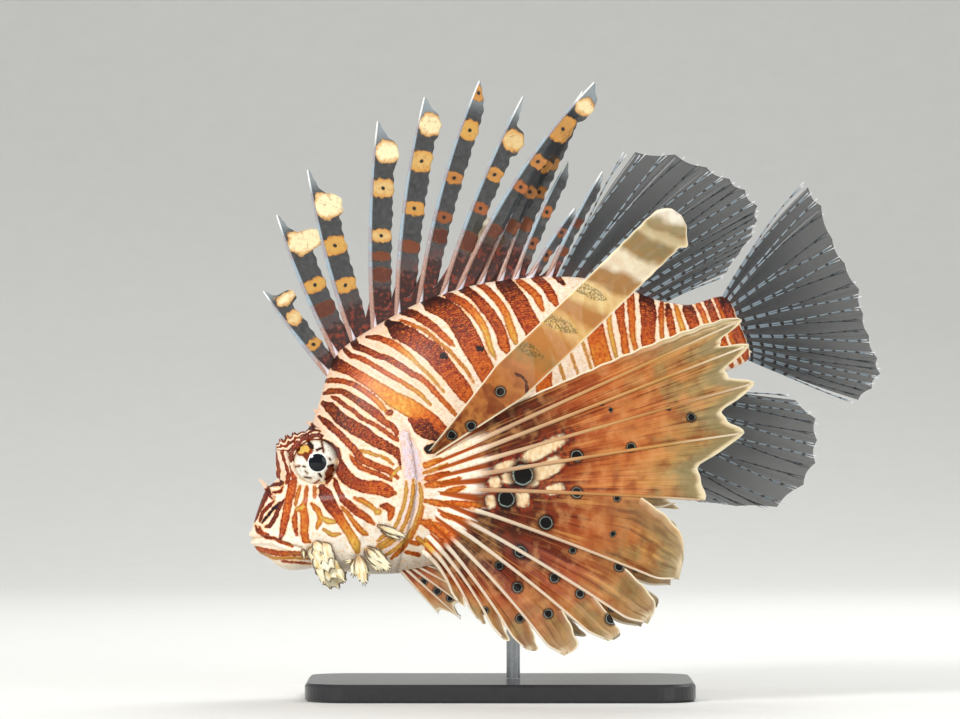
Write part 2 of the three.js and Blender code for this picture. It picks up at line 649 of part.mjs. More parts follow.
addPart(fish, 'spiny_dorsal_fin', spinyDorsal(), FIN, 0.5);
addPart(fish, 'soft_dorsal_fin', midlineFin(SOFT_DORSAL_RAYS, layOnBack), CLEAR_FIN, 0.4);
addPart(fish, 'tail_fin', midlineFin(TAIL_RAYS, layOnTail), CLEAR_FIN, 0.4);
addPart(fish, 'anal_fin', midlineFin(ANAL_RAYS, layOnBelly, -1), CLEAR_FIN, 0.4);

for (const [name, side, rays] of [['left', -1, LEFT_PECTORAL_RAYS], ['right', 1, RIGHT_PECTORAL_RAYS]]) {
  addPart(fish, `gill_cover_${name}`, buildGillCover(side), SKIN, 0.45);
  addPart(fish, `eye_${name}`, eyeBall(side, 0), EYE_WHITE, 0.1);
  addPart(fish, `pectoral_fin_${name}`, pectoralFin(rays, side), FIN, 0.45);
  addPart(fish, `pelvic_fin_${name}`, pelvicFin(side), FIN, 0.45);
}

// Stand: a flat base and one rod up to the belly
function roundedPlate({ length, width, height, corner, bevel }) {
  const halfX = length / 2 - bevel;
  const halfY = width / 2 - bevel;
  const shape = new THREE.Shape();
  shape.moveTo(-halfX + corner, -halfY);
  shape.lineTo(halfX - corner, -halfY);
  shape.absarc(halfX - corner, -halfY + corner, corner, -Math.PI / 2, 0);
  shape.absarc(halfX - corner, halfY - corner, corner, 0, Math.PI / 2);
  shape.absarc(-halfX + corner, halfY - corner, corner, Math.PI / 2, Math.PI);
  shape.absarc(-halfX + corner, -halfY + corner, corner, Math.PI, 1.5 * Math.PI);
  const plate = new THREE.ExtrudeGeometry(shape, {
    depth: height - 2 * bevel,
    bevelThickness: bevel,
    bevelSize: bevel,
    bevelSegments: 1,
    curveSegments: 6,
  });
  return solidOf(plate.translate(0, 0, bevel));
}

function standRod() {
  const belly = new THREE.Vector3(ROD.along, 0, bellyLine(ROD.along));
  fish.updateMatrixWorld(true);
  const top = belly.applyMatrix4(fish.matrixWorld);
  const foot = BASE.height + GAP;
  const height = top.z + 6 - foot;
  const rod = new THREE.CylinderGeometry(ROD.diameter / 2, ROD.diameter / 2, height, 16);
  rod.rotateX(Math.PI / 2).translate(top.x, 0, foot + height / 2);
  const inFish = solidOf(rod.applyMatrix4(fish.matrixWorld.clone().invert()));
  return largestBody(inFish.subtract(bodyGrown));
}

addPart(model, 'stand_base', roundedPlate(BASE), 0x2b2b2d, 0.4);
addPart(fish, 'stand_rod', standRod(), 0x9a9ca0, 0.3);

export default model;
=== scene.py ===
import math

import bpy
import numpy as np
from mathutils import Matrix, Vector


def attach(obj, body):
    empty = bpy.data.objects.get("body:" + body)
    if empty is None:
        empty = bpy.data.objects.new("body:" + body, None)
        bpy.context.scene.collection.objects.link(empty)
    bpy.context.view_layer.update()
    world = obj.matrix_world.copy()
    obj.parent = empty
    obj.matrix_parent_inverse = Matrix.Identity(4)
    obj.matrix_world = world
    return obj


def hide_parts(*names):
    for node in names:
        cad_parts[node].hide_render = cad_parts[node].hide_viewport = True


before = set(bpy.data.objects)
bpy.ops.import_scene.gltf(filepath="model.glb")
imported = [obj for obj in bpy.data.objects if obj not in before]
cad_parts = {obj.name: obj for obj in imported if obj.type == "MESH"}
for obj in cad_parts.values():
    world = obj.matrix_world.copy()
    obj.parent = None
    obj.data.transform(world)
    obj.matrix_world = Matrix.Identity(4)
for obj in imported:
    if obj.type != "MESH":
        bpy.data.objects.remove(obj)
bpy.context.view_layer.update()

# The fish is laid out level, in millimetres: s back from the lips, y to its right, h up.
# It is then tipped nose down and set over the middle of the stand's base.
pose = {"pitch": 22, "lips": (-108.2, 0, 70.4)}
milli = 0.001


def toWorld(points):
    turn = math.radians(pose["pitch"])
    s, y, h = np.asarray(points, float).T
    x = s * math.cos(turn) - h * math.sin(turn) + pose["lips"][0]
    z = s * math.sin(turn) + h * math.cos(turn) + pose["lips"][2]
    return np.stack([x, y + pose["lips"][1], z], 1) * milli


def fromWorld(points):
    turn = math.radians(pose["pitch"])
    x, y, z = (np.asarray(points, float) / milli - pose["lips"]).T
    return np.stack([x * math.cos(turn) + z * math.sin(turn), y, -x * math.sin(turn) + z * math.cos(turn)], 1)


def smoothLine(points):
    xs, ys = np.array(points, float).T
    steps = np.diff(ys) / np.diff(xs)
    slopes = np.zeros(len(xs))
    slopes[0], slopes[-1] = steps[0], steps[-1]
    for i in range(1, len(xs) - 1):
        if steps[i - 1] * steps[i] > 0:
            slopes[i] = 2 * steps[i - 1] * steps[i] / (steps[i - 1] + steps[i])

    def line(along):
        x = np.clip(along, xs[0], xs[-1])
        i = np.clip(np.searchsorted(xs, x) - 1, 0, len(xs) - 2)
        span = xs[i + 1] - xs[i]
        t = (x - xs[i]) / span
        u = 1 - t
        return ((1 + 2 * t) * u * u * ys[i] + t * u * u * span * slopes[i]
                + t * t * (3 - 2 * t) * ys[i + 1] - t * t * u * span * slopes[i + 1])

    return line


def mix(a, b, share):
    return a + (b - a) * share


def smoothStep(a, b, x):
    t = np.clip((x - a) / (b - a), 0, 1)
    return t * t * (3 - 2 * t)


def unit(vectors):
    return vectors / np.maximum(np.linalg.norm(vectors, axis=-1, keepdims=True), 1e-9)


# A sum of sine waves, each with its size, how fast it runs and where it starts
def waves(x, *terms):
    return sum(size * np.sin(x * rate + start) for size, rate, start in terms)


# A rounded ridge, or a groove where its rise is below nothing
def ridge(gap, rise, middle, breadth):
    return rise * np.exp(-((gap - middle) / breadth) ** 2)


unset = {"edge": 6.0, "dot": 9.0, "rim": 9.0, "patch": 9.0}          # far from any mark
sideways = np.array([0, 1.0, 0])


def addObject(name, data):
    made = bpy.data.objects.new(name, data)
    bpy.context.scene.collection.objects.link(made)
    return made


# A shape gathers loose surfaces, each with values for the materials to read, and makes one mesh of them
class Shape:
    def __init__(self):
        self.points, self.faces, self.values, self.count = [], [], {}, 0

    def add(self, points, faces, **values):
        points = np.asarray(points, float).reshape(-1, 3)
        self.points.append(points)
        self.faces += [tuple(int(v) + self.count for v in face) for face in faces]
        for name, value in values.items():
            value = np.asarray(value, float)
            width = 3 if value.ndim == 2 or value.shape == (3,) else 1
            full = np.broadcast_to(value, (len(points), 3) if width == 3 else (len(points),))
            self.values.setdefault(name, []).append((self.count, full))
        self.count += len(points)

    def build(self, name, material, slot, nodes=()):
        mesh = bpy.data.meshes.new(name)
        mesh.from_pydata(toWorld(np.concatenate(self.points)).tolist(), [], self.faces)
        for key, parts in self.values.items():
            wide = parts[0][1].ndim == 2
            whole = np.full((self.count, 3) if wide else self.count, unset.get(key, 0.0))
            for start, part in parts:
                whole[start:start + len(part)] = part
            kind = "FLOAT_VECTOR" if wide else "FLOAT"
            attribute = mesh.attributes.new(key, kind, "POINT")
            attribute.data.foreach_set("vector" if wide else "value", whole.astype(np.float32).ravel())
        mesh.polygons.foreach_set("use_smooth", np.ones(len(mesh.polygons), bool))
        mesh.materials.append(material)
        mesh.validate()
        mesh.update()
        piece = addObject(name, mesh)
        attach(piece, "root")
        if nodes:
            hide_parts(*nodes)
        print("made", name, len(mesh.polygons), "faces")


# Faces of a grid of points. Its columns can wrap round, and its rows too, as on a ring.
def gridFaces(rows, columns, start=0, flip=False, wrap=False, ring=False):
    faces = []
    for r in range(rows if ring else rows - 1):
        for c in range(columns if wrap else columns - 1):
            d = (c + 1) % columns
            a, b = start + r * columns, start + (r + 1) % rows * columns
            face = (a + c, a + d, b + d, b + c)
            faces.append(face[::-1] if flip else face)
    return faces


# Faces of a wrapped grid that a point closes at each end, the two last points of all
def closedFaces(rows, around, flip=False):
    faces = gridFaces(rows, around, wrap=True, flip=flip)
    first, end = rows * around, (rows - 1) * around
    for k in range(around):
        d = (k + 1) % around
        caps = (first, d, k), (first + 1, end + k, end + d)
        faces += [cap[::-1] if flip else cap for cap in caps]
    return faces


# A thin closed sheet from a grid of points [row, column], with a thickness at each
def addSheet(shape, grid, thickness, **values):
    rows, columns = grid.shape[:2]
    down = np.gradient(grid, axis=0)
    across = np.gradient(grid, axis=1)
    normal = unit(np.cross(across, down))
    offset = normal * (np.broadcast_to(thickness, (rows, columns))[..., None] / 2)
    points = np.concatenate([(grid + offset).reshape(-1, 3), (grid - offset).reshape(-1, 3)])
    count = rows * columns
    faces = gridFaces(rows, columns) + gridFaces(rows, columns, count, flip=True)
    rim = [(0, c) for c in range(columns)] + [(r, columns - 1) for r in range(1, rows)]
    rim += [(rows - 1, c) for c in range(columns - 2, -1, -1)] + [(r, 0) for r in range(rows - 2, 0, -1)]
    edge = [r * columns + c for r, c in rim]
    for a, b in zip(edge, edge[1:] + edge[:1]):
        faces.append((b, a, a + count, b + count))
    both = {}
    for name, value in values.items():
        value = np.asarray(value, float)
        if value.ndim == 3:
            both[name] = np.tile(value.reshape(-1, 3), (2, 1))
        elif value.ndim == 0:
            both[name] = value
        else:
            both[name] = np.tile(np.broadcast_to(value, (rows, columns)).ravel(), 2)
    shape.add(points, faces, **both)


# A round tapered tube along a path, closed at both ends
def addTube(shape, path, radii, sides=8, flat=1.0, **values):
    path = np.asarray(path, float)
    radii = np.broadcast_to(radii, len(path))
    along = unit(np.gradient(path, axis=0))
    out = np.cross(along, sideways)
    weak = np.linalg.norm(out, axis=1) < 0.2            # where the path itself runs sideways
    out[weak] = np.cross(along[weak], np.array([0.0, 0.0, 1.0]))
    out = unit(out)
    up = np.cross(along, out)
    turn = np.arange(sides) * 2 * math.pi / sides
    ring = (np.cos(turn)[None, :, None] * out[:, None] + flat * np.sin(turn)[None, :, None] * up[:, None])
    points = (path[:, None] + ring * radii[:, None, None]).reshape(-1, 3)
    points = np.concatenate([points, path[:1], path[-1:]])
    spread = {}
    for name, value in values.items():
        value = np.asarray(value, float)
        if value.ndim == 1 and len(value) == len(path):
            spread[name] = np.concatenate([np.repeat(value, sides), value[:1], value[-1:]])
        elif value.ndim == 2:
            spread[name] = np.concatenate([np.repeat(value, sides, axis=0), value[:1], value[-1:]])
        else:
            spread[name] = value
    shape.add(points, closedFaces(len(path), sides, flip=True), **spread)


# Materials. A Value is one output of a node, and can be added, taken away and multiplied like a number.
def colour(code):
    channels = [int(code[i:i + 2], 16) / 255 for i in (0, 2, 4)]
    return tuple(c / 12.92 if c <= 0.04045 else ((c + 0.055) / 1.055) ** 2.4 for c in channels) + (1.0,)


def feed(socket, value):
    value = getattr(value, "socket", value)
    if isinstance(value, bpy.types.NodeSocket):
        socket.id_data.links.new(value, socket)
    else:
        socket.default_value = value


def joinNode(tree, kind, inputs, **settings):
    node = tree.nodes.new(kind)
    for key, value in settings.items():
        setattr(node, key, value)
    for key, value in inputs.items():
        feed(node.inputs[key], value)
    return node


class Value:
    def __init__(self, socket):
        self.socket = socket

    def node(self, kind, inputs, output=0, **settings):
        return Value(joinNode(self.socket.id_data, kind, inputs, **settings).outputs[output])

    def calc(self, operation, *values):
        return self.node("ShaderNodeMath", dict(enumerate(values)), operation=operation)

    def __add__(self, other):
        return self.calc("ADD", self, other)

    def __sub__(self, other):
        return self.calc("SUBTRACT", self, other)

    def __mul__(self, other):
        return self.calc("MULTIPLY", self, other)

    def fit(self, factor, offset):                      # self * factor + offset
        return self.calc("MULTIPLY_ADD", self, factor, offset)

    def rest(self):                                     # 1 - self
        return self.calc("SUBTRACT", 1.0, self)

    def most(self, other):
        return self.calc("MAXIMUM", self, other)

    def ease(self, low, high, start=0.0, end=1.0):      # runs from start to end as self goes from low to high
        span = {"Value": self, "From Min": low, "From Max": high, "To Min": start, "To Max": end}
        return self.node("ShaderNodeMapRange", span, "Result", interpolation_type="SMOOTHSTEP")

    def fade(self, low, high, start=1.0):               # runs down to nothing
        return self.ease(low, high, start, 0.0)

    def blend(self, under, over, mode="MIX"):           # shows more of over as self goes from 0 to 1
        under, over = (colour(shade) if isinstance(shade, str) else shade for shade in (under, over))
        return self.node("ShaderNodeMix", {0: self, 6: under, 7: over}, 2, data_type="RGBA", blend_type=mode)

    def ramp(self, stops):                              # each stop is a place and a colour
        node = joinNode(self.socket.id_data, "ShaderNodeValToRGB", {"Fac": self})
        elements = node.color_ramp.elements
        for element, (place, code) in zip((elements[0], elements[1]), (stops[0], stops[-1])):
            element.position, element.color = place, colour(code)
        for place, code in stops[1:-1]:
            elements.new(place).color = colour(code)
        return Value(node.outputs["Color"])

    def noise(self, scale, detail=2.0):                 # on places in metres the scale is in blotches to a metre
        return self.node("ShaderNodeTexNoise", {"Vector": self, "Scale": scale, "Detail": detail}, "Fac")

    def away(self, point=(0, 0, 0)):
        return self.node("ShaderNodeVectorMath", {0: self, 1: point}, "Value", operation="DISTANCE")

    def bump(self, strength, distance):
        return self.node("ShaderNodeBump", {"Height": self, "Strength": strength, "Distance": distance}, "Normal")


def read(tree, name, output="Fac"):
    return Value(joinNode(tree, "ShaderNodeAttribute", {}, attribute_name=name).outputs[output])


def vector(x, y, z=0.0):
    return x.node("ShaderNodeCombineXYZ", {"X": x, "Y": y, "Z": z})


def objectPlace(tree):
    return Value(tree.nodes.new("ShaderNodeTexCoord").outputs["Object"])


def setShader(material, **values):
    inputs = material.node_tree.nodes["Principled BSDF"].inputs
    for key, value in values.items():
        feed(inputs[key.replace("_", " ")], value)
    return material


def newMaterial(name, **settings):
    material = bpy.data.materials.new(name)
    material.use_nodes = True
    return setShader(material, **settings), material.node_tree


skinLook = {
    "inputs": ("Edge", "Tone", "Pink", "Dash"),
    "stripe": [(0, "080404"), (0.28, "260805"), (0.36, "4c0e05"), (0.5, "8a2407"), (0.667, "c35812"),
               (0.85, "d68f2c"), (1, "dcb552")],
    "ground": [(0, "f8f0e0"), (0.35, "f7e6d0"), (0.7, "f1ceb4"), (1, "dfd0da")],
    "fleck": "d9782a", "dash": "e07a24", "stripeRim": "7a2a12", "cloud": "f9d9a4", "halo": "fbf2e4",
    "goldFringe": "eebb66", "fringe": "d97f33", "grain": "e0a24c", "underScale": "c99468",
    "ragged": (0.7, 1.1, -0.95),          # millimetres that coarse and torn noise shift an edge, and back again
    "toneScale": (0.57, 0.6667),          # brings a tone to its place on the stripe's ramp
}


# Stripes from their signed distance in millimetres: ragged, darker at the rim, on a pale ground
def markingsGroup():
    look = skinLook
    tree = bpy.data.node_groups.new("striped markings", "ShaderNodeTree")
    for name in look["inputs"]:
        tree.interface.new_socket(name, in_out="INPUT", socket_type="NodeSocketFloat")
    tree.interface.new_socket("Colour", in_out="OUTPUT", socket_type="NodeSocketColor")
    tree.interface.new_socket("Inside", in_out="OUTPUT", socket_type="NodeSocketFloat")
    given = tree.nodes.new("NodeGroupInput").outputs
    out = tree.nodes.new("NodeGroupOutput").inputs
    givenEdge, givenTone, pink, dash = (Value(given[name]) for name in look["inputs"])
    place = objectPlace(tree)
    broad, coarse, torn, fine = place.noise(45), place.noise(300), place.noise(700, 3.0), place.noise(1500)
    coarseShift, tornShift, back = look["ragged"]
    edge = givenEdge + coarse.fit(coarseShift, torn.fit(tornShift, back))
    inside = edge.fade(-0.12, 0.14)
    rim = edge.ease(-0.9, -0.1)
    tone = (broad - 0.5).fit(0.3, givenTone) + (torn - 0.5) * givenTone.ease(-0.1, 0.3, 0.4, 1.0)
    warm = tone.ease(-0.15, 0.1)
    stripe = ((tone + look["toneScale"][0]) * look["toneScale"][1]).ramp(look["stripe"])
    stripe = (fine.ease(0.5, 0.66) * rim.rest() * warm * 0.45).blend(stripe, look["fleck"])
    stripe = (dash.ease(0.42, 0.85) * (warm * 0.75)).blend(stripe, look["dash"])
    stripe = (rim * 0.5).blend(stripe, look["stripeRim"], "MULTIPLY")
    ground = pink.ramp(look["ground"])
    ground = coarse.ease(0.5, 0.75, 0.0, 0.5).blend(ground, look["cloud"])
    ground = edge.fade(0.1, 1.1, 0.7).blend(ground, look["halo"])
    ground = (edge.fade(0.3, 0.9, 0.6) * coarse.ease(0.35, 0.6)).blend(ground, look["goldFringe"])
    ground = edge.fade(0.0, 0.5, 0.75).blend(ground, look["fringe"])
    ground = (edge.ease(1.1, 1.7) * torn.ease(0.5, 0.62) * 0.35).blend(ground, look["grain"])
    ground = dash.fade(0.0, 0.45, 0.3).blend(ground, look["underScale"])
    feed(out["Colour"], inside.blend(ground, stripe))
    feed(out["Inside"], inside)
    return tree


markings = markingsGroup()


def addMarkings(tree):
    values = {name: read(tree, name.lower()) for name in skinLook["inputs"]}
    outputs = joinNode(tree, "ShaderNodeGroup", {}, node_tree=markings)
    for name, value in values.items():
        feed(outputs.inputs[name], value)
    return Value(outputs.outputs["Colour"]), Value(outputs.outputs["Inside"])


def skinMaterial():
    material, tree = newMaterial("striped skin", Specular_IOR_Level=0.3, Coat_Weight=0.06, Coat_Roughness=0.25)
    shown, inside = addMarkings(tree)
    shade = read(tree, "shade")
    shown = shown.node("ShaderNodeMix", {0: 1.0, 6: shown, 7: vector(shade, shade, shade)}, 2, data_type="RGBA",
                       blend_type="MULTIPLY")
    place = objectPlace(tree)
    height = inside.fit(0.15, place.noise(1400, 3.0))
    return setShader(material, Base_Color=shown, Roughness=place.noise(700).fit(0.25, 0.32),
                     Normal=height.bump(0.5, 0.00025))


eyeColours = {
    "iris": [(0, "8f8168"), (0.4, "e6dfcd"), (0.6, "fbf6ea"), (1, "fffdf4")],
    "mark": [(0, "0a0708"), (0.333, "3a120b"), (0.55, "8a3a14"), (0.8, "b9842c"), (1, "dcb85e")],
    "outer": "a98f52", "fringe": "b08a5a", "pupilRing": "eef2f0", "pupil": "050a12",
    "pupilPlace": (0.045, 0, -0.027),     # in radii of the eye, back and up from its middle
}


def eyeMaterial():
    look = eyeColours
    material, tree = newMaterial("glass eye", Roughness=0.1, Specular_IOR_Level=0.3, Coat_Weight=0.1,
                                 Coat_Roughness=0.04)
    disc, place = read(tree, "disc", "Vector"), objectPlace(tree)
    fromPupil = disc.away(look["pupilPlace"])
    iris = place.noise(900, 3.0).ramp(look["iris"])
    iris = (disc.away().ease(0.72, 0.98) * 0.75).blend(iris, look["outer"])
    edge = place.noise(1800).fit(0.6, read(tree, "edge") - 0.3)
    iris = edge.fade(0.0, 1.0, 0.5).blend(iris, look["fringe"])
    mark = ((read(tree, "tone") + 0.5) * 0.6667).ramp(look["mark"])
    shown = edge.fade(-0.25, 0.25).blend(iris, mark)
    shown = fromPupil.fade(0.385, 0.41, 0.8).blend(shown, look["pupilRing"])
    shown = fromPupil.fade(0.34, 0.36).blend(shown, look["pupil"])
    return setShader(material, Base_Color=shown)


spineLook = {
    "gold": [(0, "47180c"), (0.35, "5a260e"), (0.6, "a05a28"), (0.8, "c89a4a"), (1, "f1e2b4")],
    "film": "131416", "filmTip": "8d979b", "filmFoot": "33120a", "footFleck": "7a2c14",
    "goldFleck": "8a4a18", "goldMargin": "c98d3c", "goldRim": "6a3a14", "dot": "170a06",
    "shaft": "93a5b0", "shaftPatch": "a5542a", "shaftFoot": "b07048", "shaftTip": "f2f3ee", "gleam": "e9f0f2",
    "sheath": "dfd9e2",
}


def spineMaterial():
    look = spineLook
    material, tree = newMaterial("spine vane", Roughness=0.38, Coat_Weight=0.2, Coat_Roughness=0.25)
    along, ray, sheath, tone = (read(tree, name) for name in ("along", "ray", "sheath", "tone"))
    place = objectPlace(tree)
    speck, fine = place.noise(500), place.noise(1800)
    low = speck.fit(0.12, along).fade(0.24, 0.42)
    film = low.blend(along.ease(0.84, 0.97).blend(look["film"], look["filmTip"]), look["filmFoot"])
    film = (speck.ease(0.5, 0.65) * low).blend(film, look["footFleck"])
    edge = speck.fit(2.6, read(tree, "edge") - 1.5)
    patch = edge.fade(-0.15, 0.2)
    gold = tone.ramp(look["gold"])
    gold = (fine + speck).ease(1.05, 1.3, 0.0, 0.55).blend(gold, look["goldFleck"])
    gold = (edge.ease(-2.6, -0.5) * tone.ease(0.55, 0.75, 0.0, 0.75)).blend(gold, look["goldMargin"])
    gold = edge.ease(-0.8, -0.05, 0.0, 0.7).blend(gold, look["goldRim"])
    gold = fine.fit(0.4, read(tree, "dot", "Vector").away()).fade(0.9, 1.25).blend(gold, look["dot"])
    shaft = (patch * 0.3).blend(look["shaft"], look["shaftPatch"])
    shaft = (low * 0.75).blend(shaft, look["shaftFoot"])
    shaft = along.ease(0.86, 0.95).blend(shaft, look["shaftTip"])
    shaft = (fine.ease(0.5, 0.7) * 0.3).blend(shaft, look["gleam"])
    shown = sheath.blend(ray.blend(patch.blend(film, gold), shaft), look["sheath"])
    solid = (patch * 0.96).most(ray).most(sheath).most(low * 0.95)
    return setShader(material, Base_Color=shown, Alpha=solid.most(speck.ease(0.2, 0.8, 0.62, 0.74)),
                     Normal=fine.bump(0.3, 0.0002))


clearLook = {
    "rib": "7c8b94", "ribGap": "1a0f0c", "ribTip": "f0f3f4", "film": ("0a0c0e", "1b2024"), "foot": "3a1a12",
    "dashes": (1.25, 0.3, 2.4, 0.62),     # radians to a millimetre and to a ray, waver, how much of a wave is pale
}


def clearMaterial():
    look = clearLook
    material, tree = newMaterial("clear fin", Roughness=0.35, Coat_Weight=0.25, Coat_Roughness=0.2)
    along, ray, lobe, share = (read(tree, name) for name in ("along", "ray", "lobe", "share"))
    place = objectPlace(tree)
    speck = place.noise(420)
    perLength, perRay, waver, pale = look["dashes"]
    wave = speck.fit(waver, along * perLength + lobe * perRay)
    dash = (wave.calc("SINE", wave) + pale).ease(-0.12, 0.12)
    rib = share.ease(0.9, 0.99).blend(dash.blend(look["ribGap"], look["rib"]), look["ribTip"])
    low = share.fade(0.02, 0.2)
    film = low.blend(speck.ease(0.35, 0.7).blend(*look["film"]), look["foot"])
    clear = share.ease(0.2, 1.0, 0.76, 0.5).most(low * 0.92)
    return setShader(material, Base_Color=ray.blend(film, rib), Alpha=clear.most(ray),
                     Normal=place.noise(1500).bump(0.25, 0.0002))


fanLook = {
    "upperWeb": [(0.1, "7a3012"), (0.2, "34110a"), (0.33, "52200e"), (0.46, "96441c"), (0.6, "b5622e"),
                 (0.74, "b9743c"), (0.85, "ad8048"), (0.93, "b49a64"), (1, "e0d0a8")],
    "lowerWeb": [(0.1, "6e2c12"), (0.2, "2a0e08"), (0.33, "40180c"), (0.46, "762c14"), (0.6, "a04e24"),
                 (0.75, "ab6430"), (0.87, "a1713c"), (0.95, "b99a6c"), (1, "ecdfc4")],
    "blade": [(0.05, "5e3216"), (0.2, "8a4a20"), (0.31, "a8622c"), (0.37, "b87238"), (0.385, "9c7038"),
              (0.43, "a67a40"), (0.45, "b87a3e"), (0.495, "bd8246"), (0.515, "dcb670"), (0.555, "d8b06c"),
              (0.575, "b67e44"), (0.62, "b48048"), (0.64, "e4ca8c"), (0.685, "e2c68a"), (0.705, "a57c48"),
              (0.75, "a88050"), (0.77, "ece0c4"), (0.825, "eadcbc"), (0.845, "988052"), (0.89, "948058"),
              (0.91, "d4c49a"), (0.93, "c8b88c"), (0.945, "9c8a60"), (0.965, "a89870"), (0.98, "f2ead4"),
              (1, "f8f2e2")],
    "rib": [(0.2, "e6c8a4"), (0.5, "c99e66"), (0.75, "bd9050"), (1, "f3e8d0")],
    "rootBar": [(0.02, "b4561a"), (0.15, "9c4210"), (0.24, "5c1c08")],
    # gap is a painted shadow: near black beside each long lower ray, on the side that faces the next lobe
    "cloud": "8e7c4c", "gap": "1c0f0a", "bladeVein": "c07e3e", "bladeFoot": "6a2a12", "crescent": "4a1208",
    "olive": "5c5426", "shadow": "857650", "margin": "e4d6b0", "maroon": ("3c110a", "86290f"),
    "cream": ("ecd8b0", "d6a870"), "edge": "f4e8c8", "ribStreak": "9a5a30", "lowerRib": "efe6d2",
    "spotShade": "4a2412", "spotRing": "8fa296", "spot": "0c0807",
    "lower": (5.4, 6.4),                  # the lobes past this ray are the long lower ones
    "root": (0.18, 0.25),                 # where along the rays the body's own markings end
}


def fanMaterial():
    look, lower = fanLook, fanLook["lower"]
    material, tree = newMaterial("banded fan", Roughness=0.5, Specular_IOR_Level=0.15)
    along, across, ray, lobe, blade, rim, patch, tone = (
        read(tree, name) for name in ("along", "across", "ray", "lobe", "blade", "rim", "patch", "tone"))
    place = objectPlace(tree)
    speck, broad, patchy = place.noise(500, 3.0), place.noise(90), place.noise(150, 4.0)
    wide = lobe.fit(3.7, across)                        # so that no two lobes are streaked alike
    streak = vector(wide * 9.0, along * 3.0).noise(1.0, 3.0)
    thread = vector(wide * 34.0, along * 5.0).noise(1.0)
    web = broad.fit(0.16, streak.fit(0.14, along - 0.15))
    web = lobe.fade(*lower).blend(web.ramp(look["lowerWeb"]), web.ramp(look["upperWeb"]))
    web = (broad.ease(0.5, 0.62) * along.ease(0.55, 0.85, 0.0, 0.6)).blend(web, look["cloud"])
    # Painted shadow: near black down the gap side of each long lower lobe, fading towards the tips
    gapShadowSide = lobe.ease(*lower) * across.ease(0.45, 0.95)
    web = (gapShadowSide * along.ease(0.2, 0.85, 0.95, 0.15)).blend(web, look["gap"])

    # The long free blade: bands across it, a maroon crescent and olive patches
    sword = broad.fit(0.06, across.fit(-0.055, along)).ramp(look["blade"])
    veins = place.noise(260, 4.0).ease(0.35, 0.65, 0.0, 0.55) * along.ease(0.1, 0.9, 1.0, 0.4)
    sword = veins.blend(sword, look["bladeVein"])
    sword = (broad.ease(0.5, 0.6) * along.fade(0.2, 0.45, 0.7)).blend(sword, look["bladeFoot"])
    flesh, inside = addMarkings(tree)
    olive = tone.ease(0.3, 0.6)
    fleck = inside * (place.noise(1100, 3.0).ease(0.44, 0.52) * 0.7).most(olive.rest()) * along.ease(0.3, 0.33)
    sword = fleck.blend(sword, olive.blend(look["crescent"], look["olive"]))
    web = blade.blend(web, sword)

    # Streaks, mottling, margins and patches on the webbed lobes
    webbed = blade.rest()
    for grain, span, code, mode in (
            (streak, (0.52, 0.7, 0.0, 0.5), "d09850", "MIX"),
            (streak, (0.32, 0.47, 0.75, 0.0), "7a3a18", "MULTIPLY"),
            (thread, (0.36, 0.5, 0.35, 0.0), "8a4a20", "MULTIPLY"),
            (patchy, (0.46, 0.72, 0.0, 0.5), "c98e58", "MIX"),
            (patchy, (0.28, 0.52, 0.6, 0.0), "7c3216", "MIX")):
        web = (grain.ease(*span) * webbed).blend(web, code, mode)
    inward = streak.fit(9.0, broad.fit(6.0, rim - 7.5))
    outer = along.ease(0.6, 0.85) * webbed * lobe.ease(*lower, 1.0, 0.3)
    shadow = inward.ease(2.0, 6.0) * inward.fade(9.0, 22.0, 0.8)
    web = (shadow * outer).blend(web, look["shadow"])
    web = (inward.fade(0.5, 5.0, 0.85) * outer).blend(web, look["margin"])
    blotch = speck.fit(1.5, streak.fit(0.8, patch - 1.15))
    web = blotch.fade(1.3, 3.2, 0.9).blend(web, speck.ease(0.42, 0.6).blend(*look["maroon"]))
    web = blotch.fade(0.4, 1.4, 0.9).blend(web, speck.ease(0.35, 0.7, 0.0, 0.7).blend(*look["cream"]))
    web = rim.fade(0.0, 1.3, 0.95).blend(web, look["edge"])

    rib = streak.ease(0.4, 0.65, 0.0, 0.55).blend(along.ramp(look["rib"]), look["ribStreak"])
    rib = lobe.ease(*lower, 0.0, 0.7).blend(rib, look["lowerRib"])
    shown = (ray * 0.8).blend(web, rib)
    spot = speck.fit(0.25, read(tree, "dot", "Vector").away() - 0.12)
    shown = spot.fade(0.9, 1.6, 0.95).blend(shown, look["spotShade"], "MULTIPLY")
    shown = (spot.fade(0.84, 0.94, 0.75) * streak.ease(0.35, 0.55, 0.3, 1.0)).blend(shown, look["spotRing"])
    shown = spot.fade(0.74, 0.82).blend(shown, look["spot"])
    bar = across.ease(0.3, 0.45) * across.fade(0.7, 0.9) * ray.rest()
    flesh = bar.blend(flesh, along.ramp(look["rootBar"]))
    shown = (streak.fit(0.1, along).fade(*look["root"]) * webbed).blend(shown, flesh)
    clear = blade * rim.ease(0.5, 2.5) * along.ease(0.15, 0.4, 0.0, 0.3)
    return setShader(material, Base_Color=shown, Alpha=(along - ray).ease(0.7, 1.0, 1.0, 0.86) - clear,
                     Normal=streak.fit(webbed, speck).bump(0.3, 0.0003))


flapLook = {
    "leaf": [(0.3, "e0bc74"), (0.42, "f2e0ae"), (0.52, "f8f0cf"), (0.7, "fcf6de")],
    "foot": "c08a42", "speck": "8a6426", "rim": "4e2c12",
}


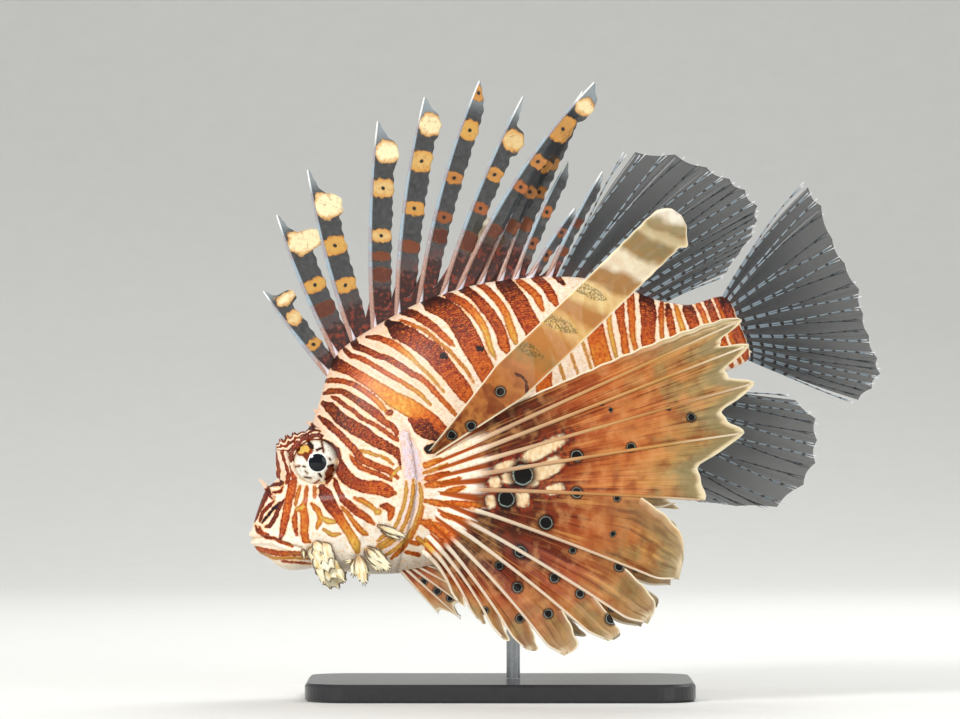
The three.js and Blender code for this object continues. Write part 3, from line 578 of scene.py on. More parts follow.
def flapMaterial():
    look = flapLook
    material, tree = newMaterial("skin flaps", Roughness=0.5, Coat_Weight=0.1, Coat_Roughness=0.35)
    along, across, rim = (read(tree, name) for name in ("along", "across", "rim"))
    fold = vector(across * 3.2, along * 2.2).noise(1.0)
    fine = objectPlace(tree).noise(1300, 3.0)
    shown = along.fade(0.0, 0.45, 0.8).blend(fold.ramp(look["leaf"]), look["foot"])
    shown = fine.ease(0.6, 0.72, 0.0, 0.45).blend(shown, look["speck"])
    shown = fine.fit(1.2, rim - 0.6).fade(0.3, 1.2, 0.9).blend(shown, look["rim"])
    return setShader(material, Base_Color=shown, Normal=(fold + fine).bump(0.15, 0.0003))


def hardMaterial(name, low, high, roughness, scale, bump, **settings):
    material, tree = newMaterial(name, **settings)
    grain = objectPlace(tree).noise(scale, 4.0)
    spread = 0.12                                       # how far the roughness varies
    return setShader(material, Base_Color=grain.blend(low, high), Normal=grain.bump(bump, 0.0001),
                     Roughness=grain.fit(spread, roughness - spread / 2))


# Body
body = {
    "back": [[0, 3], [6.5, 11], [13, 17.5], [19, 20], [23, 26], [29, 30.5], [38, 32.5], [46, 41], [57, 54.5],
             [66, 62], [84, 66], [108, 68.5], [128, 67], [150, 62], [172, 54], [190, 42.5], [206, 28.5],
             [218, 22.5], [232, 21.5], [238, 20]],
    "belly": [[0, -8], [2.5, -11.5], [6, -17], [10.5, -20], [19, -22.5], [30, -28], [47, -36.5], [62, -41],
              [86, -43.5], [110, -41.5], [132, -36.5], [158, -28], [185, -20], [207, -13.5], [218, -10.5],
              [232, -9.5], [238, -8]],
    "side": [[0, 6], [3, 8.5], [8, 11.5], [15, 14.5], [24, 17.5], [38, 20.5], [55, 24], [75, 26], [96, 25.5],
             [120, 22.5], [146, 18], [170, 12.5], [190, 8.5], [206, 6], [218, 4.4], [230, 3.2], [238, 0.6]],
    "widest": [[0, -2.5], [20, -1], [50, 2], [80, 8], [120, 14], [160, 14], [200, 8], [232, 6]],
    "fullness": [[0, 1], [28, 0.7], [44, 0.75], [60, 1], [95, 1.2], [232, 1.15]],
    "bellyFullness": 0.95,
    "length": 233.5, "roundEnd": 228, "snout": 1.4, "stations": 330, "around": 240, "dash": 0.35,
    "crowding": 1.25, "capRings": 8, "endBreadth": 0.004, "endPinch": 0.12,    # rings lie closer on the head
}
backLine = smoothLine(body["back"])
bellyLine = smoothLine(body["belly"])
sideLine = smoothLine(body["side"])
widestLine = smoothLine(body["widest"])
fullnessLine = smoothLine(body["fullness"])
eye = {"s": 38.3, "y": 12.8, "h": 20.3, "radius": 11, "bulge": 0.03, "bulgeBreadth": 0.16, "rows": 90,
       "columns": 120}


def bodyPoints(s, turn):
    up, out = np.sin(turn), np.cos(turn)
    middle = widestLine(s)
    rise = np.where(up >= 0, backLine(s) - middle, middle - bellyLine(s))
    fullness = np.where(up >= 0, fullnessLine(s), body["bellyFullness"])
    y = sideLine(s) * np.sign(out) * np.abs(out) ** fullness
    return np.stack([s + 0 * y, y, middle + rise * up], -1)


def bodySide(s, h):
    middle = widestLine(s)
    rise = np.where(h >= middle, backLine(s) - middle, middle - bellyLine(s))
    up = np.clip(np.abs(h - middle) / rise, 0, 1)
    fullness = np.where(h >= middle, fullnessLine(s), body["bellyFullness"])
    return sideLine(s) * (1 - up * up) ** (fullness / 2)


# Distance from points to a path, and the value held along the path at the nearest place
def nearPath(points, path, held):
    path = np.asarray(path, float)
    held = np.broadcast_to(np.asarray(held, float), len(path))
    best = np.full(points.shape[:-1], 1e9)
    value = np.zeros(points.shape[:-1])
    for a, b, va, vb in zip(path, path[1:], held, held[1:]):
        line = b - a
        t = np.clip(((points - a) @ line) / (line @ line), 0, 1)
        gap = np.linalg.norm(points - (a + t[..., None] * line), axis=-1)
        closer = gap < best
        best = np.where(closer, gap, best)
        value = np.where(closer, va + (vb - va) * t, value)
    return best, value


# Markings on the skin, traced on the level fish: each has its tones, half widths, and points back and up.
# Tone -0.5 is near black, 0 dark maroon, 0.5 orange brown, 1 golden.
skinLines = [
    # snout
    [[0.1, 0.35, 0.15], [1.1, 1.3, 1.5, 1.3, 1.3, 1.0, 0.5],
     [27.6, 27.5, 27.2, 23.5, 26.4, 18, 23.3, 12.8, 20.5, 9.2, 17.6, 4.6, 14.4, 0, 12.6, -3.1, 10.9, -4.9]],
    [[0.1], [0.5], [25.6, 24, 22.7, 17]],
    [[0], [0.55], [23.6, 22.5, 20.8, 17.4]],
    [[0], [0.45], [24.9, 27, 22.3, 22.5, 20.6, 18.6]],
    [[0], [0.6], [18.3, 10.1, 15.1, 7.8, 12.8, 5.1, 10.5, 3.3, 8.7, 2.1, 6.7, 2.4]],
    [[-0.3], [0.35], [16.5, 10.1, 12.8, 8.3, 9.6, 6.5, 5.8, 4.6]],
    [[0.05], [0.45], [14.6, 11.5, 11, 10.1, 7.6, 8.5, 5.3, 5.5]],
    [[0.05], [0.5], [14.2, 18.3, 13.5, 15.5, 14.2, 12.8]],
    [[0.05], [0.8, 0.6], [12.8, 17.6, 11, 14, 8, 11.4, 5.5, 9.2, 2.8, 6.5]],
    [[0], [0.5], [15, 18.6, 19.6, 17.4]],
    [[0.1], [0.35], [15.5, 15.1, 18.7, 14.2, 20.5, 16]],
    [[0.15, 0.5], [0.35], [2.6, 4.5, 2.8, 1.5, 5.5, -2.2, 8.3, -3.5, 11, -6.7, 13.3, -8.3, 14.5, -10]],
    [[0.3], [0.3], [4, 3.5, 4.6, 0.5, 6.5, -1.2]],
    [[0.35, 0.3, 0.6], [0.7, 0.9, 0.6], [-1, -4.5, 1.5, -6.7, 5.1, -9, 9.2, -11.3, 14.2, -13.1, 19.6, -15.8]],
    [[0.85], [0.3], [0.5, -7.6, 5.1, -11.9, 11, -13.9, 20, -18]],
    [[0.4], [0.2], [7.8, -14.5, 14.2, -17.6, 18.7, -20]],
    # brow
    [[0], [0.6, 0.5], [24.5, 34.5, 31, 34, 38, 33, 42, 34.8]],
    [[0], [0.5], [24, 31.8, 28, 31.8, 33, 31, 39, 31]],
    [[0.05], [0.5], [25, 37, 31, 36.4, 38, 35.6]],
    [[0.05], [0.7, 0.4], [42.6, 31, 43, 34, 42.4, 36.5]],
    # cheek
    [[0.3], [0.8], [21.5, 3.3, 19.6, 0, 18.3, -5.8]],
    [[0.55, 0.5, 0.4], [0.5, 1.3, 1.4, 1.2, 0.8],
     [26.5, 6.5, 25.5, 4.2, 24.2, -0.8, 21.9, -5.8, 21, -9.5, 22.4, -10.8]],
    [[0.8], [0.6], [25.8, 4.6, 22.6, 4.4]],
    [[0.6], [0.5], [27.8, 13.3, 25.1, 10.1, 22.8, 6.5]],
    [[0.5], [0.55], [30.5, 12.4, 29, 9.5, 27.8, 6.9, 26.8, 5.2]],
    [[0.6], [0.4], [33.5, 10.5, 31.9, 6.5]],
    [[0.6, 0.75], [0.8], [29.6, 4.4, 31, 0.5, 31, -3, 27.8, -6.3]],
    [[0.95], [1.0, 0.6], [31.5, -3.4, 34, -6, 36.5, -7]],
    [[0.85], [0.5], [30, -8, 33, -12, 36, -12.5]],
    [[0.1], [0.7], [43, 16, 42, 12.5, 39, 10]],
    [[0.05, 0.1, 0.3, 0.6, 0.85, 0.9], [2.6, 2.5, 2.3, 2.0, 1.7, 1.4, 1.5, 1.6, 1.2],
     [36.5, 9, 36.7, 5, 37, 1, 38, -3, 38.8, -7, 39.5, -11, 40.3, -15, 40.8, -19, 40.2, -23]],
    [[0.1, 0.15, 0.3, 0.5], [0.8, 0.9, 0.8, 1.0, 1.3, 1.3, 1.2, 1.0, 0.7],
     [43, 10.5, 42.5, 7, 42.8, 4, 43, 1, 44.5, -2, 46, -5, 48, -8, 50, -11, 51.5, -14]],
    [[0.6], [0.5, 0.9], [41.3, -2, 42.5, -5, 43.5, -9, 44.5, -13, 46, -16, 47, -17]],
    [[0.05, 0.1, 0.2, 0.35, 0.3], [1.5, 2.3, 2.5, 2.2, 2.1, 2.4, 2.6, 2.2, 1.4],
     [48.5, 16, 47.3, 13, 48, 9.5, 50, 6, 52.5, 3.5, 56, 1.5, 60, -0.5, 63, -3.5, 65, -5]],
    [[-0.1, 0.05], [0.8], [44.2, 28.3, 47.1, 25, 48.8, 21.7, 48.3, 17.5]],
    [[0.6, 0.9], [0.8, 0.6], [48, -0.5, 51, -3, 53, -6, 55, -9.5]],
    [[0.95], [0.9], [54.8, -9.8, 55.6, -9.9]],
    [[0.1, 0.5], [1.0, 1.2, 1.2, 1.0, 0.6], [57.5, -8, 59.5, -9, 61, -11, 60, -13, 58.5, -15]],
    [[0.3], [0.7], [53.3, 17.5, 54, 14, 55.5, 11, 58, 8.5, 61, 6, 65.8, 0.8]],
    [[0.1, 0.2, 0.4], [0.9, 1.2, 0.9],
     [46.7, 38.3, 49.2, 34.2, 51.7, 29.2, 53.8, 24.2, 55.8, 19.2, 57.5, 13.5, 60, 11, 62.5, 8.5, 66.7, 5, 68.8, 0.8]],
    [[0.85], [0.4], [58, 18, 61, 16, 64, 13]],
    [[0.85], [0.4], [65, 13, 67.5, 10, 69, 7]],
    [[1.0], [0.4], [66, 2, 69.5, 4, 73, 5]],
    [[0.85], [0.5], [50, -21.6, 53.3, -20.6, 55.9, -20.7]],
    [[0.8], [0.4], [48.3, -26.3, 51.5, -24.2, 53.5, -22.6]],
    [[0.9], [0.4], [71.6, -2, 69.8, -6.7, 66.3, -12, 61.5, -17.2, 57.9, -20.1]],
    [[0.85], [0.45], [74.7, -2.6, 72.9, -7.1, 69.5, -12.9, 65.1, -18.2, 60, -22.6, 55, -24.6, 50.4, -25.3]],
    [[0.9], [0.45], [76.7, -5, 75.7, -9.9, 72.7, -15.7, 67.5, -21.6, 62.1, -25.7, 56, -28, 51, -28.7]],
    [[0.6, 0.5], [0.5], [74.4, -15.3, 69.7, -20.9, 64, -25.9, 58.3, -29.1, 52.8, -31.1]],
    [[0.85], [0.4], [58.4, -22, 53.7, -23, 48.9, -24]],
    [[0.75], [0.6], [66.9, -27, 69.3, -31.4]],
    [[0.1], [0.5], [46.5, 38.5, 48.3, 34, 50, 30]],
    # nape and shoulder
    [[0, 0.1, 0.15], [1.9, 2.0, 2.2, 2.6, 2.4, 2.0, 1.8, 1.6, 1.4, 1.1, 0.7],
     [50.5, 43, 53.3, 39.2, 55, 34.2, 59.2, 28.3, 62.5, 24.2, 65.8, 19.2, 69.2, 15.5, 72, 12, 73.5, 8.5, 72.9, 5,
      72, 4]],
    [[0.15, 0.3], [0.6],
     [55, 44.3, 57, 42.5, 59, 39, 61.5, 35.5, 63.5, 31.5, 66, 28.5, 69, 25, 72, 20.5, 74, 17, 76.5, 15.3]],
    [[0.05, 0.1, 0.3], [0.9, 0.9, 0.9, 1.0, 1.2, 1.5, 1.5, 1.0, 0.9, 0.7, 0.5],
     [52.5, 47, 56, 46.8, 60, 45, 63, 41.5, 65.5, 38, 68, 34, 70.5, 30.5, 72.3, 26, 75, 22.5, 76.2, 18, 76.5, 14.5]],
    [[0.15, 0.2, 0.8], [0.8], [54.5, 52, 58, 51, 62, 49, 66, 46, 69, 42, 71.5, 38, 73.5, 34, 75, 29]],
    [[0.1], [1.0], [75.6, 28.6, 76.4, 28.4]],
    [[0.05, 0.15, 0.6, 0.75, 0.35, 0.2], [2, 2.5, 1.8, 1.9, 1.9, 2.4, 3, 3.3, 3.2, 2.6, 1.8, 1.2],
     [60, 64, 62, 57, 67, 52, 70, 48, 73, 44, 77, 38, 80, 33, 84.5, 28, 88.5, 22.5, 92, 18, 95, 12, 96.5, 9]],
    [[0.12, 0.0, -0.06], [1.8, 3.4, 2.4], [83.5, 22, 87, 17.5, 91, 12.5]],
    [[0.0, -0.06], [1.4, 1.0], [86, 13.6, 90.6, 11.2, 94, 8.4]],
    # Near black under the pectoral fin's foot: painted shade in the hollow where the fin meets the body
    [[-0.5], [1.6, 2.2], [86, 7.2, 90.5, 6.4]],
    [[0.5, 0.7], [1.1, 0.8], [79.5, 1.5, 84, 1.2, 90, 1.4]],
    [[0.75], [0.5], [80, -1.6, 86, -2, 92, -1.8]],
    [[0.5, 0.4], [1.0], [78.6, -4, 84, -5, 91, -5.4]],
    [[0.2, 0.4, 0.85], [0.8, 0.7, 0.5],
     [67.5, 62.5, 69.5, 58, 73, 55.5, 76, 52, 79, 48, 82, 44, 86, 39, 88.5, 35.5, 91, 32, 94, 25]],
    [[0.1, 0.15, 0.3, 0.5], [1.6, 1.2, 1.0, 1.0, 1.0, 1.0, 1.0, 0.9, 0.9, 0.8, 0.7, 0.5],
     [73, 66, 73, 61, 77, 57.5, 80, 54, 84, 51, 88.5, 45, 91.5, 40.5, 94, 38, 96, 34.5, 98, 29, 101, 21, 103.5, 14]],
    [[0.2, 0.4, 0.9, 1.0], [0.7, 0.9, 1.1, 1.1, 1.0, 0.7, 0.4, 0.4, 0.3],
     [79, 63, 84, 60.5, 87, 57.5, 90, 54, 92, 50.5, 94, 47, 96, 42, 98.5, 37, 101.5, 28]],
    # the two broad bars and the lines between them
    [[0.05, 0.1, 0.12, 0.25, 0.4], [3, 3.2, 3.2, 3.3, 3.5, 3.6, 3.3, 3.1, 3, 2.5],
     [90, 65, 93.5, 59.5, 97, 55.5, 100, 51, 103, 46.5, 105, 41, 106.5, 36, 108, 31, 109.5, 26, 111, 18]],
    [[-0.4], [0.8], [106.8, 43, 107.8, 41.8]],
    [[0.6, 0.8], [0.4], [95.5, 64.5, 99, 61, 104, 56, 108, 48, 110.5, 44, 112, 39, 114, 34, 115, 27]],
    [[0.1, 0.2, 0.6], [1.2, 1.3, 1.4, 1.4, 1.2, 1.1, 0.9, 0.4],
     [96, 71, 98, 67.5, 102, 64.5, 105, 60.5, 108, 56, 110, 51.5, 112, 47.5, 113, 45]],
    [[0.05, 0.1, 0.12, 0.25, 0.4], [3, 3.5, 3.6, 3.8, 4, 4, 3.9, 3.5, 3.4, 3.2],
     [108, 69, 111, 66, 115, 62, 118, 57.5, 119.3, 52, 120, 47, 120.5, 41, 121.3, 35, 122, 29, 122.5, 20]],
    [[-0.4], [0.8], [122.6, 40, 123.8, 39]],
    [[0.2, 0.4, 0.85, 0.9], [1.2, 1.3, 1.4, 1.4, 1.3, 1.2, 1.0, 0.9, 0.8, 0.5],
     [117.5, 68, 121, 64.5, 124, 61, 125.5, 58, 127, 54, 128, 50, 128.3, 46, 128, 42, 127.5, 38, 128, 33]],
    [[0.1, 0.25, 0.35], [1.5, 1.5, 1.5, 1.7, 1.9, 1.9, 1.9, 1.8, 1.5],
     [124, 69, 127, 66, 129.5, 62, 131.5, 57, 133, 52, 134, 47, 134.3, 42, 133.5, 37.5, 134, 33]],
    [[0.3, 0.5, 0.85], [1.0, 1.3],
     [132, 68.5, 134, 65.5, 136, 62, 138, 57, 139, 53, 139.5, 49, 139.3, 45, 139, 41, 138.7, 36]],
    [[0.1, 0.15, 0.3, 0.5], [2.8, 3.2, 3.3, 3.3, 3.3, 3.2, 3, 2.6],
     [142, 67, 144.5, 60, 146, 55, 146.8, 50, 147.3, 45, 148, 38, 147, 25, 143, 14, 140, 2]],
    # rear of the body and the tail's stalk
    [[0.5], [1.0, 1.3], [149.5, 62, 151.5, 58.5, 153.5, 55, 155, 51, 155, 45]],
    [[0.2, 0.4], [1.4, 1.6], [156, 62, 158.5, 58, 160.3, 54, 161, 50, 161.5, 45]],
    [[0.2], [0.9], [164.5, 58.5, 166.5, 56, 168, 52]],
    [[0.9], [0.3], [152, 34, 153, 22, 152, 8]],
    [[0.95], [0.25], [158, 38, 159.5, 26, 158.5, 10]],
    [[0.9], [0.3], [165, 40, 166, 28, 165, 10]],
    [[0.05, 0.3, 0.5, 0.55], [3.3, 3.3, 3.4, 3.4, 3.5, 3.2],
     [176, 43, 175, 37, 174, 34, 173, 29, 172.3, 24, 171.5, 19, 171, 14, 170, 4]],
    [[0.9], [1.0, 0.7, 0.7, 0.6], [183, 41, 182, 37, 181, 32, 179.5, 27, 178.3, 21, 177, 12]],
    [[0.15, 0.3, 0.5], [2.4, 1.8, 1.3, 1.1, 1.2, 1.0],
     [190, 43, 187.5, 36, 186, 31, 184.7, 26, 183.8, 21, 182.5, 17, 181, 8]],
    [[0.3, 0.6], [1.4, 0.7], [194, 39.5, 192.7, 35, 191, 30, 189.8, 26, 188, 21.5, 187, 18, 186, 10]],
    [[0.05, 0.2, 0.45], [2.2, 3.0, 2.6, 2.4, 2.3],
     [198.5, 36, 198.8, 31, 197.5, 26, 195.5, 21, 193.5, 17, 191, 8, 190, -1]],
    [[0.5], [0.9, 0.5], [205, 28.5, 203, 24.5, 201.3, 20, 200, 17, 198, 9]],
    [[0.2, 0.4], [1.3, 1.2, 1.0, 0.9], [207, 26.5, 205.5, 21, 204.5, 16, 203.5, 9, 203, 0, 202, -9]],
    [[0.85, 0.6], [0.9, 0.7], [210.2, 25.5, 209.4, 19, 208.8, 12, 208.5, 4, 208, -6]],
    [[0.15, 0.3], [2.3, 2.0, 1.6, 1.4], [214.8, 25, 214.5, 19, 214.3, 14, 214, 6, 213.5, -2, 213, -11]],
    [[0.6], [0.8], [219, 25, 219.8, 18, 219.6, 10, 219.4, 2, 219, -9]],
    [[0.2, 0.4], [1.3], [223.4, 26, 224, 18, 223.6, 10, 223.4, 2, 223, -9]],
    [[0.5], [0.7], [227.4, 26, 227.8, 16, 227.6, 8, 227.4, 0, 227, -9]],
    [[0.1, 0.3], [1.6], [230.5, 27, 231, 20, 231, 15, 230.5, 8, 231, 0, 230, -10]],
    # at the foot of the pectoral fin and on the belly
    [[0.5], [1.3, 0.7], [79, -7, 83, -8, 88, -9.5, 92, -10, 95, -9.5]],
    [[0.55], [0.9], [86, -13.5, 90, -13.5, 95, -14]],
    [[0.5], [0.8, 1.3], [76, -13, 80, -15.5, 84, -17.5, 88, -19, 92, -21, 96, -23, 99, -24]],
    [[0.5], [0.9, 1.2], [81.5, -21.5, 84, -23.5, 87, -26, 90, -29.5, 93, -31.5, 95.5, -32]],
    [[0.6], [1.3], [90, -30, 90, -35, 89, -38, 91, -42]],
    [[0.45], [1.6, 1.8, 2.3, 2.6, 2.8, 2.9, 3.1],
     [71, -21, 75, -24, 78, -27.5, 80, -32, 81.5, -37, 83, -42, 85, -46]],
    [[0.85], [1.0], [70, -29, 71, -33, 72, -36, 74, -40, 76.5, -43.5]],
    [[0.5], [0.5], [63.4, -27.4, 66, -29.6]],
    [[0.35], [0.5], [60, -31, 64.5, -34]],
    [[0.5, 0.8], [1.2, 0.6], [104, -24, 108, -34, 110, -42]],
    [[0.5, 0.8], [1.4, 0.7], [122, -16, 126, -26, 128, -38]],
    [[0.5, 0.8], [1.3, 0.6], [142, -8, 146, -20, 147, -32]],
    [[0.45, 0.7], [1.4, 0.8], [160, -4, 164, -14, 165, -26]],
    [[0.4, 0.6], [1.3, 0.8], [176, -3, 180, -12, 181, -22]],
]


eyeLines = [
    [[0.3], [2.4], [34, 27.6, 36.8, 26.8]],
    [[0.95], [1.6], [34, 27.8, 36.3, 27.4]],
    [[0.2], [1.3], [35.2, 25, 35.8, 23]],
    # The next two marks, at the top of the eye under the brow, are dark bars darkened further by painted shade from
    # the brow
    [[-0.4], [1.2], [29.5, 29.5, 32.8, 28.9]],
    [[-0.3], [1.0], [38.2, 30.5, 39, 27.5, 39.2, 26.5]],
    [[-0.2], [0.5], [40.5, 25.2, 43.2, 25.2]],
    [[0.1], [0.45], [43.8, 28, 43, 23.5]],
    [[-0.3], [0.35], [32.3, 20.9, 33.1, 20.3]],
    [[-0.2], [0.3], [32.4, 18.6, 32.8, 17.4]],
    [[0], [0.4], [31.2, 16.2, 33.5, 14.8]],
    [[-0.4], [0.5], [37.6, 15.2, 37.9, 13.8]],
    [[-0.3], [0.35], [44.2, 19.8, 44.4, 19]],
    [[-0.1], [0.7], [42.5, 16.6, 44.5, 16.4]],
    [[0.15], [1.6], [41.3, 13.6, 43, 14.8]],
    [[0.15], [0.8], [39.5, 12, 42, 12.6]],
    [[0.2], [0.4], [28.8, 22, 31, 21.6]],
    [[0.3], [0.4], [34, 12, 36.5, 12.6]],
]


# Signed distance to the nearest line, and its tone, at points (back, up). A later line lies over an earlier one.
def markLines(points, lines, grow=(1, 0)):
    edge = np.full(len(points), 6.0)
    tone = np.zeros(len(points))
    for tones, widths, numbers in lines:
        path = np.array(numbers, float).reshape(-1, 2)
        reach = 6 + max(widths)
        near = np.all((points > path.min(0) - reach) & (points < path.max(0) + reach), axis=1)
        gap, share = nearPath(points[near], path, np.linspace(0, 1, len(path)))
        wide = np.interp(share, np.linspace(0, 1, len(widths)), widths)
        if len(path) > 2:                               # ends run out to a point
            end = np.minimum(share, 1 - share) * (len(path) - 1)
            wide = wide * (0.45 + 0.55 * smoothStep(0, 0.7, end))
        own = gap - wide * grow[0] - grow[1]
        ownTone = np.interp(share, np.linspace(0, 1, len(tones)), tones)
        over = (own < edge[near]) | (own < 0)
        tone[near] = np.where(over, ownTone, tone[near])
        edge[near] = np.minimum(edge[near], own)
    return edge, tone


lineGrowth = (1.1, 0.22)       # every line is drawn this much broader: times, and millimetres more
gillBand = {"path": [[78.5, 17], [77.8, 8], [75.5, -1], [72, -8], [67, -15], [60, -22], [53, -27]],
            "halves": [2.2, 4.2, 4.4, 3.8, 3.2, 2.4, 1.6], "soft": 0.8, "clears": 0.7}
pinkness = {"all": 0.35, "shoulder": 0.5, "belly": 0.3, "most": 0.7}
backShade = {"dark": 0.22, "depth": 12, "from": (50, 62)}     # the bars darken towards the line of the back


def skinMarks(points):
    flat = points[:, [0, 2]]
    edge, tone = markLines(flat, skinLines, lineGrowth)
    s, h = flat.T
    shoulder = pinkness["shoulder"] * smoothStep(12, 40, h) * (1 - smoothStep(85, 120, s))
    pink = pinkness["all"] + shoulder - pinkness["belly"] * smoothStep(5, -20, h)
    gap, half = nearPath(flat, gillBand["path"], gillBand["halves"])
    band = 1 - smoothStep(-gillBand["soft"], gillBand["soft"], gap - half)
    edge = np.where(tone > gillBand["clears"], edge, np.maximum(edge, 4 * band - 2 * (1 - band)))
    nearBack = smoothStep(-backShade["depth"], 0, h - backLine(s))
    tone = tone - backShade["dark"] * nearBack * smoothStep(*backShade["from"], s)
    return {"edge": edge, "tone": tone, "pink": np.clip(pink, 0, pinkness["most"]) * (1 - band) + band}


headForms = {              # each ridge or groove: how far it rises, how far off its line, how broad
    "mouth": [[-3, 0.4], [0.5, -0.6], [4, -1.6], [8.3, -3.8], [11, -6.3], [14.5, -9.6], [18, -12]],
    "lip": (1.0, 1.7, 1.1), "mouthGroove": (-1.1, 0, 0.55),
    "eyeRim": (1.5, 10.9, 1.3), "socket": 3.2, "socketEdge": (8.4, 10.0),
    "nostril": (15.2, 13.2), "nostrilRim": (0.5, 1.3, 0.5), "nostrilPit": (-1.0, 0, 0.7),
    "cheekLine": [[24, 6], [32, 4], [42, 1], [52, -4]], "cheekRidge": (0.9, 0, 1.8),
    "preopercle": [[47, 12], [49.5, 3], [49, -6], [45, -15], [38, -22]], "preopercleRidge": (0.8, 0.6, 1.1),
    "brow": [[22, 8, 24], [27, 12, 31], [34, 14.5, 33], [41, 15.5, 33.5], [46, 15, 36]],
    "browRadius": [1.5, 3.2, 3, 2.6, 1],
    "gillEdge": [[24, 77], [17.5, 80], [8, 78], [-4, 75], [-16, 68], [-28.5, 58], [-40, 50]],
    "gillRise": 1.1, "gillSlope": 16, "gillGroove": (-0.5, 1.2, 0.9), "gillTop": (17, 23), "gillFoot": (24, 40),
}


def headRelief(points):
    forms = headForms
    s, y, h = np.moveaxis(points, -1, 0)
    flat = np.stack([s, h], -1)
    outward = smoothStep(3, 9, np.abs(y))               # nothing at the midline
    mouthGap, _ = nearPath(flat, forms["mouth"], 0)
    relief = ridge(mouthGap, *forms["lip"]) + ridge(mouthGap, *forms["mouthGroove"])
    eyeGap = np.hypot(s - eye["s"], h - eye["h"])
    relief += ridge(eyeGap, *forms["eyeRim"]) * outward
    relief -= forms["socket"] * (1 - smoothStep(*forms["socketEdge"], eyeGap)) * outward
    pit = np.hypot(s - forms["nostril"][0], h - forms["nostril"][1])
    relief += ridge(pit, *forms["nostrilRim"]) * outward
    relief += ridge(pit, *forms["nostrilPit"]) * outward
    for line, form in (("cheekLine", "cheekRidge"), ("preopercle", "preopercleRidge")):
        relief += ridge(nearPath(flat, forms[line], 0)[0], *forms[form]) * outward
    side = np.stack([s, np.abs(y), h], -1)
    browGap, browRadius = nearPath(side, forms["brow"], forms["browRadius"])
    relief += np.maximum(0, browRadius - browGap * 0.8) * smoothStep(18, 26, s)
    edgeH, edgeS = np.array(forms["gillEdge"][::-1]).T
    behind = s - np.interp(h, edgeH, edgeS)
    cover = (1 - smoothStep(-0.5, 0.5, behind)) * np.exp(np.minimum(behind, 0) / forms["gillSlope"])
    belowTop = 1 - smoothStep(*forms["gillTop"], h)
    relief += forms["gillRise"] * cover * belowTop * (1 - smoothStep(*forms["gillFoot"], -h))
    relief += ridge(behind, *forms["gillGroove"]) * belowTop * outward
    return relief


coat = {
    "front": 47, "rear": 227.5, "along": 1.0, "around": 1.15, "length": 1.95, "width": 1.6, "thickness": 0.11,
    "tilt": 3, "variation": 0.12, "depth": 0.14, "sides": 8, "patch": 0.003, "pieces": 3, "seed": 7,
    "size": smoothLine([[44, 0.6], [60, 0.8], [100, 1.05], [160, 1], [200, 0.85], [232, 0.7]]),
    "eyeGap": 13.5, "crispAngle": 2.2, "jitter": 0.12, "seat": 0.08, "sunk": (44, 60), "unwrap": (250, 0.02),
    "boldness": 0.6, "shades": (0.96, 1.06),
    "streak": {0: 1, 4: 0.85, 8: 0.85},    # the lens's points that a short slanting dash runs over, and how boldly
}


# Where each scale is rooted: on rings round the body, each ring set half a scale round from the last
def coatRoots():
    random, jitter = np.random.default_rng(coat["seed"]), coat["jitter"]
    roots, backs, normals, sizes, unwrap = [], [], [], [], []
    turn = np.linspace(0, 2 * math.pi, 721) - math.pi / 2
    s, odd = coat["front"], False
    while s < coat["rear"]:
        size = float(coat["size"](s))
        ring = bodyPoints(np.full(len(turn), float(s)), turn)
        length = np.concatenate([[0], np.cumsum(np.linalg.norm(np.diff(ring, axis=0), axis=1))])
        count = int(length[-1] / (coat["around"] * size))
        places = (np.arange(count) + (0.5 if odd else 0) + random.uniform(-jitter, jitter, count)) / count % 1
        angle = np.interp(places * length[-1], length, turn)
        station = s + random.uniform(-jitter, jitter, count) * size
        here = bodyPoints(station, angle)
        back = unit(bodyPoints(station + 0.4, angle) - bodyPoints(station - 0.4, angle))
        around = unit(bodyPoints(station, angle + 0.01) - bodyPoints(station, angle - 0.01))
        normal = unit(np.cross(around, back))
        outward = np.sum(normal * (here - [s, 0, float(widestLine(s))]), 1, keepdims=True)
        normal = np.where(outward < 0, -normal, normal)
        here = here + normal * (headRelief(here) - coat["seat"])[:, None]
        clear = np.hypot(here[:, 0] - eye["s"], here[:, 2] - eye["h"]) > coat["eyeGap"]
        roots.append(here[clear])
        backs.append(back[clear])
        normals.append(normal[clear])
        sizes.append(np.full(clear.sum(), size))
        reach, margin = coat["unwrap"]
        flat = [np.full(clear.sum(), s / reach + margin), places[clear] * (1 - 2 * margin) + margin]
        unwrap.append(np.stack(flat, 1))
        s += coat["along"] * size
        odd = not odd
    return [np.concatenate(part) for part in (roots, backs, normals, sizes, unwrap)]


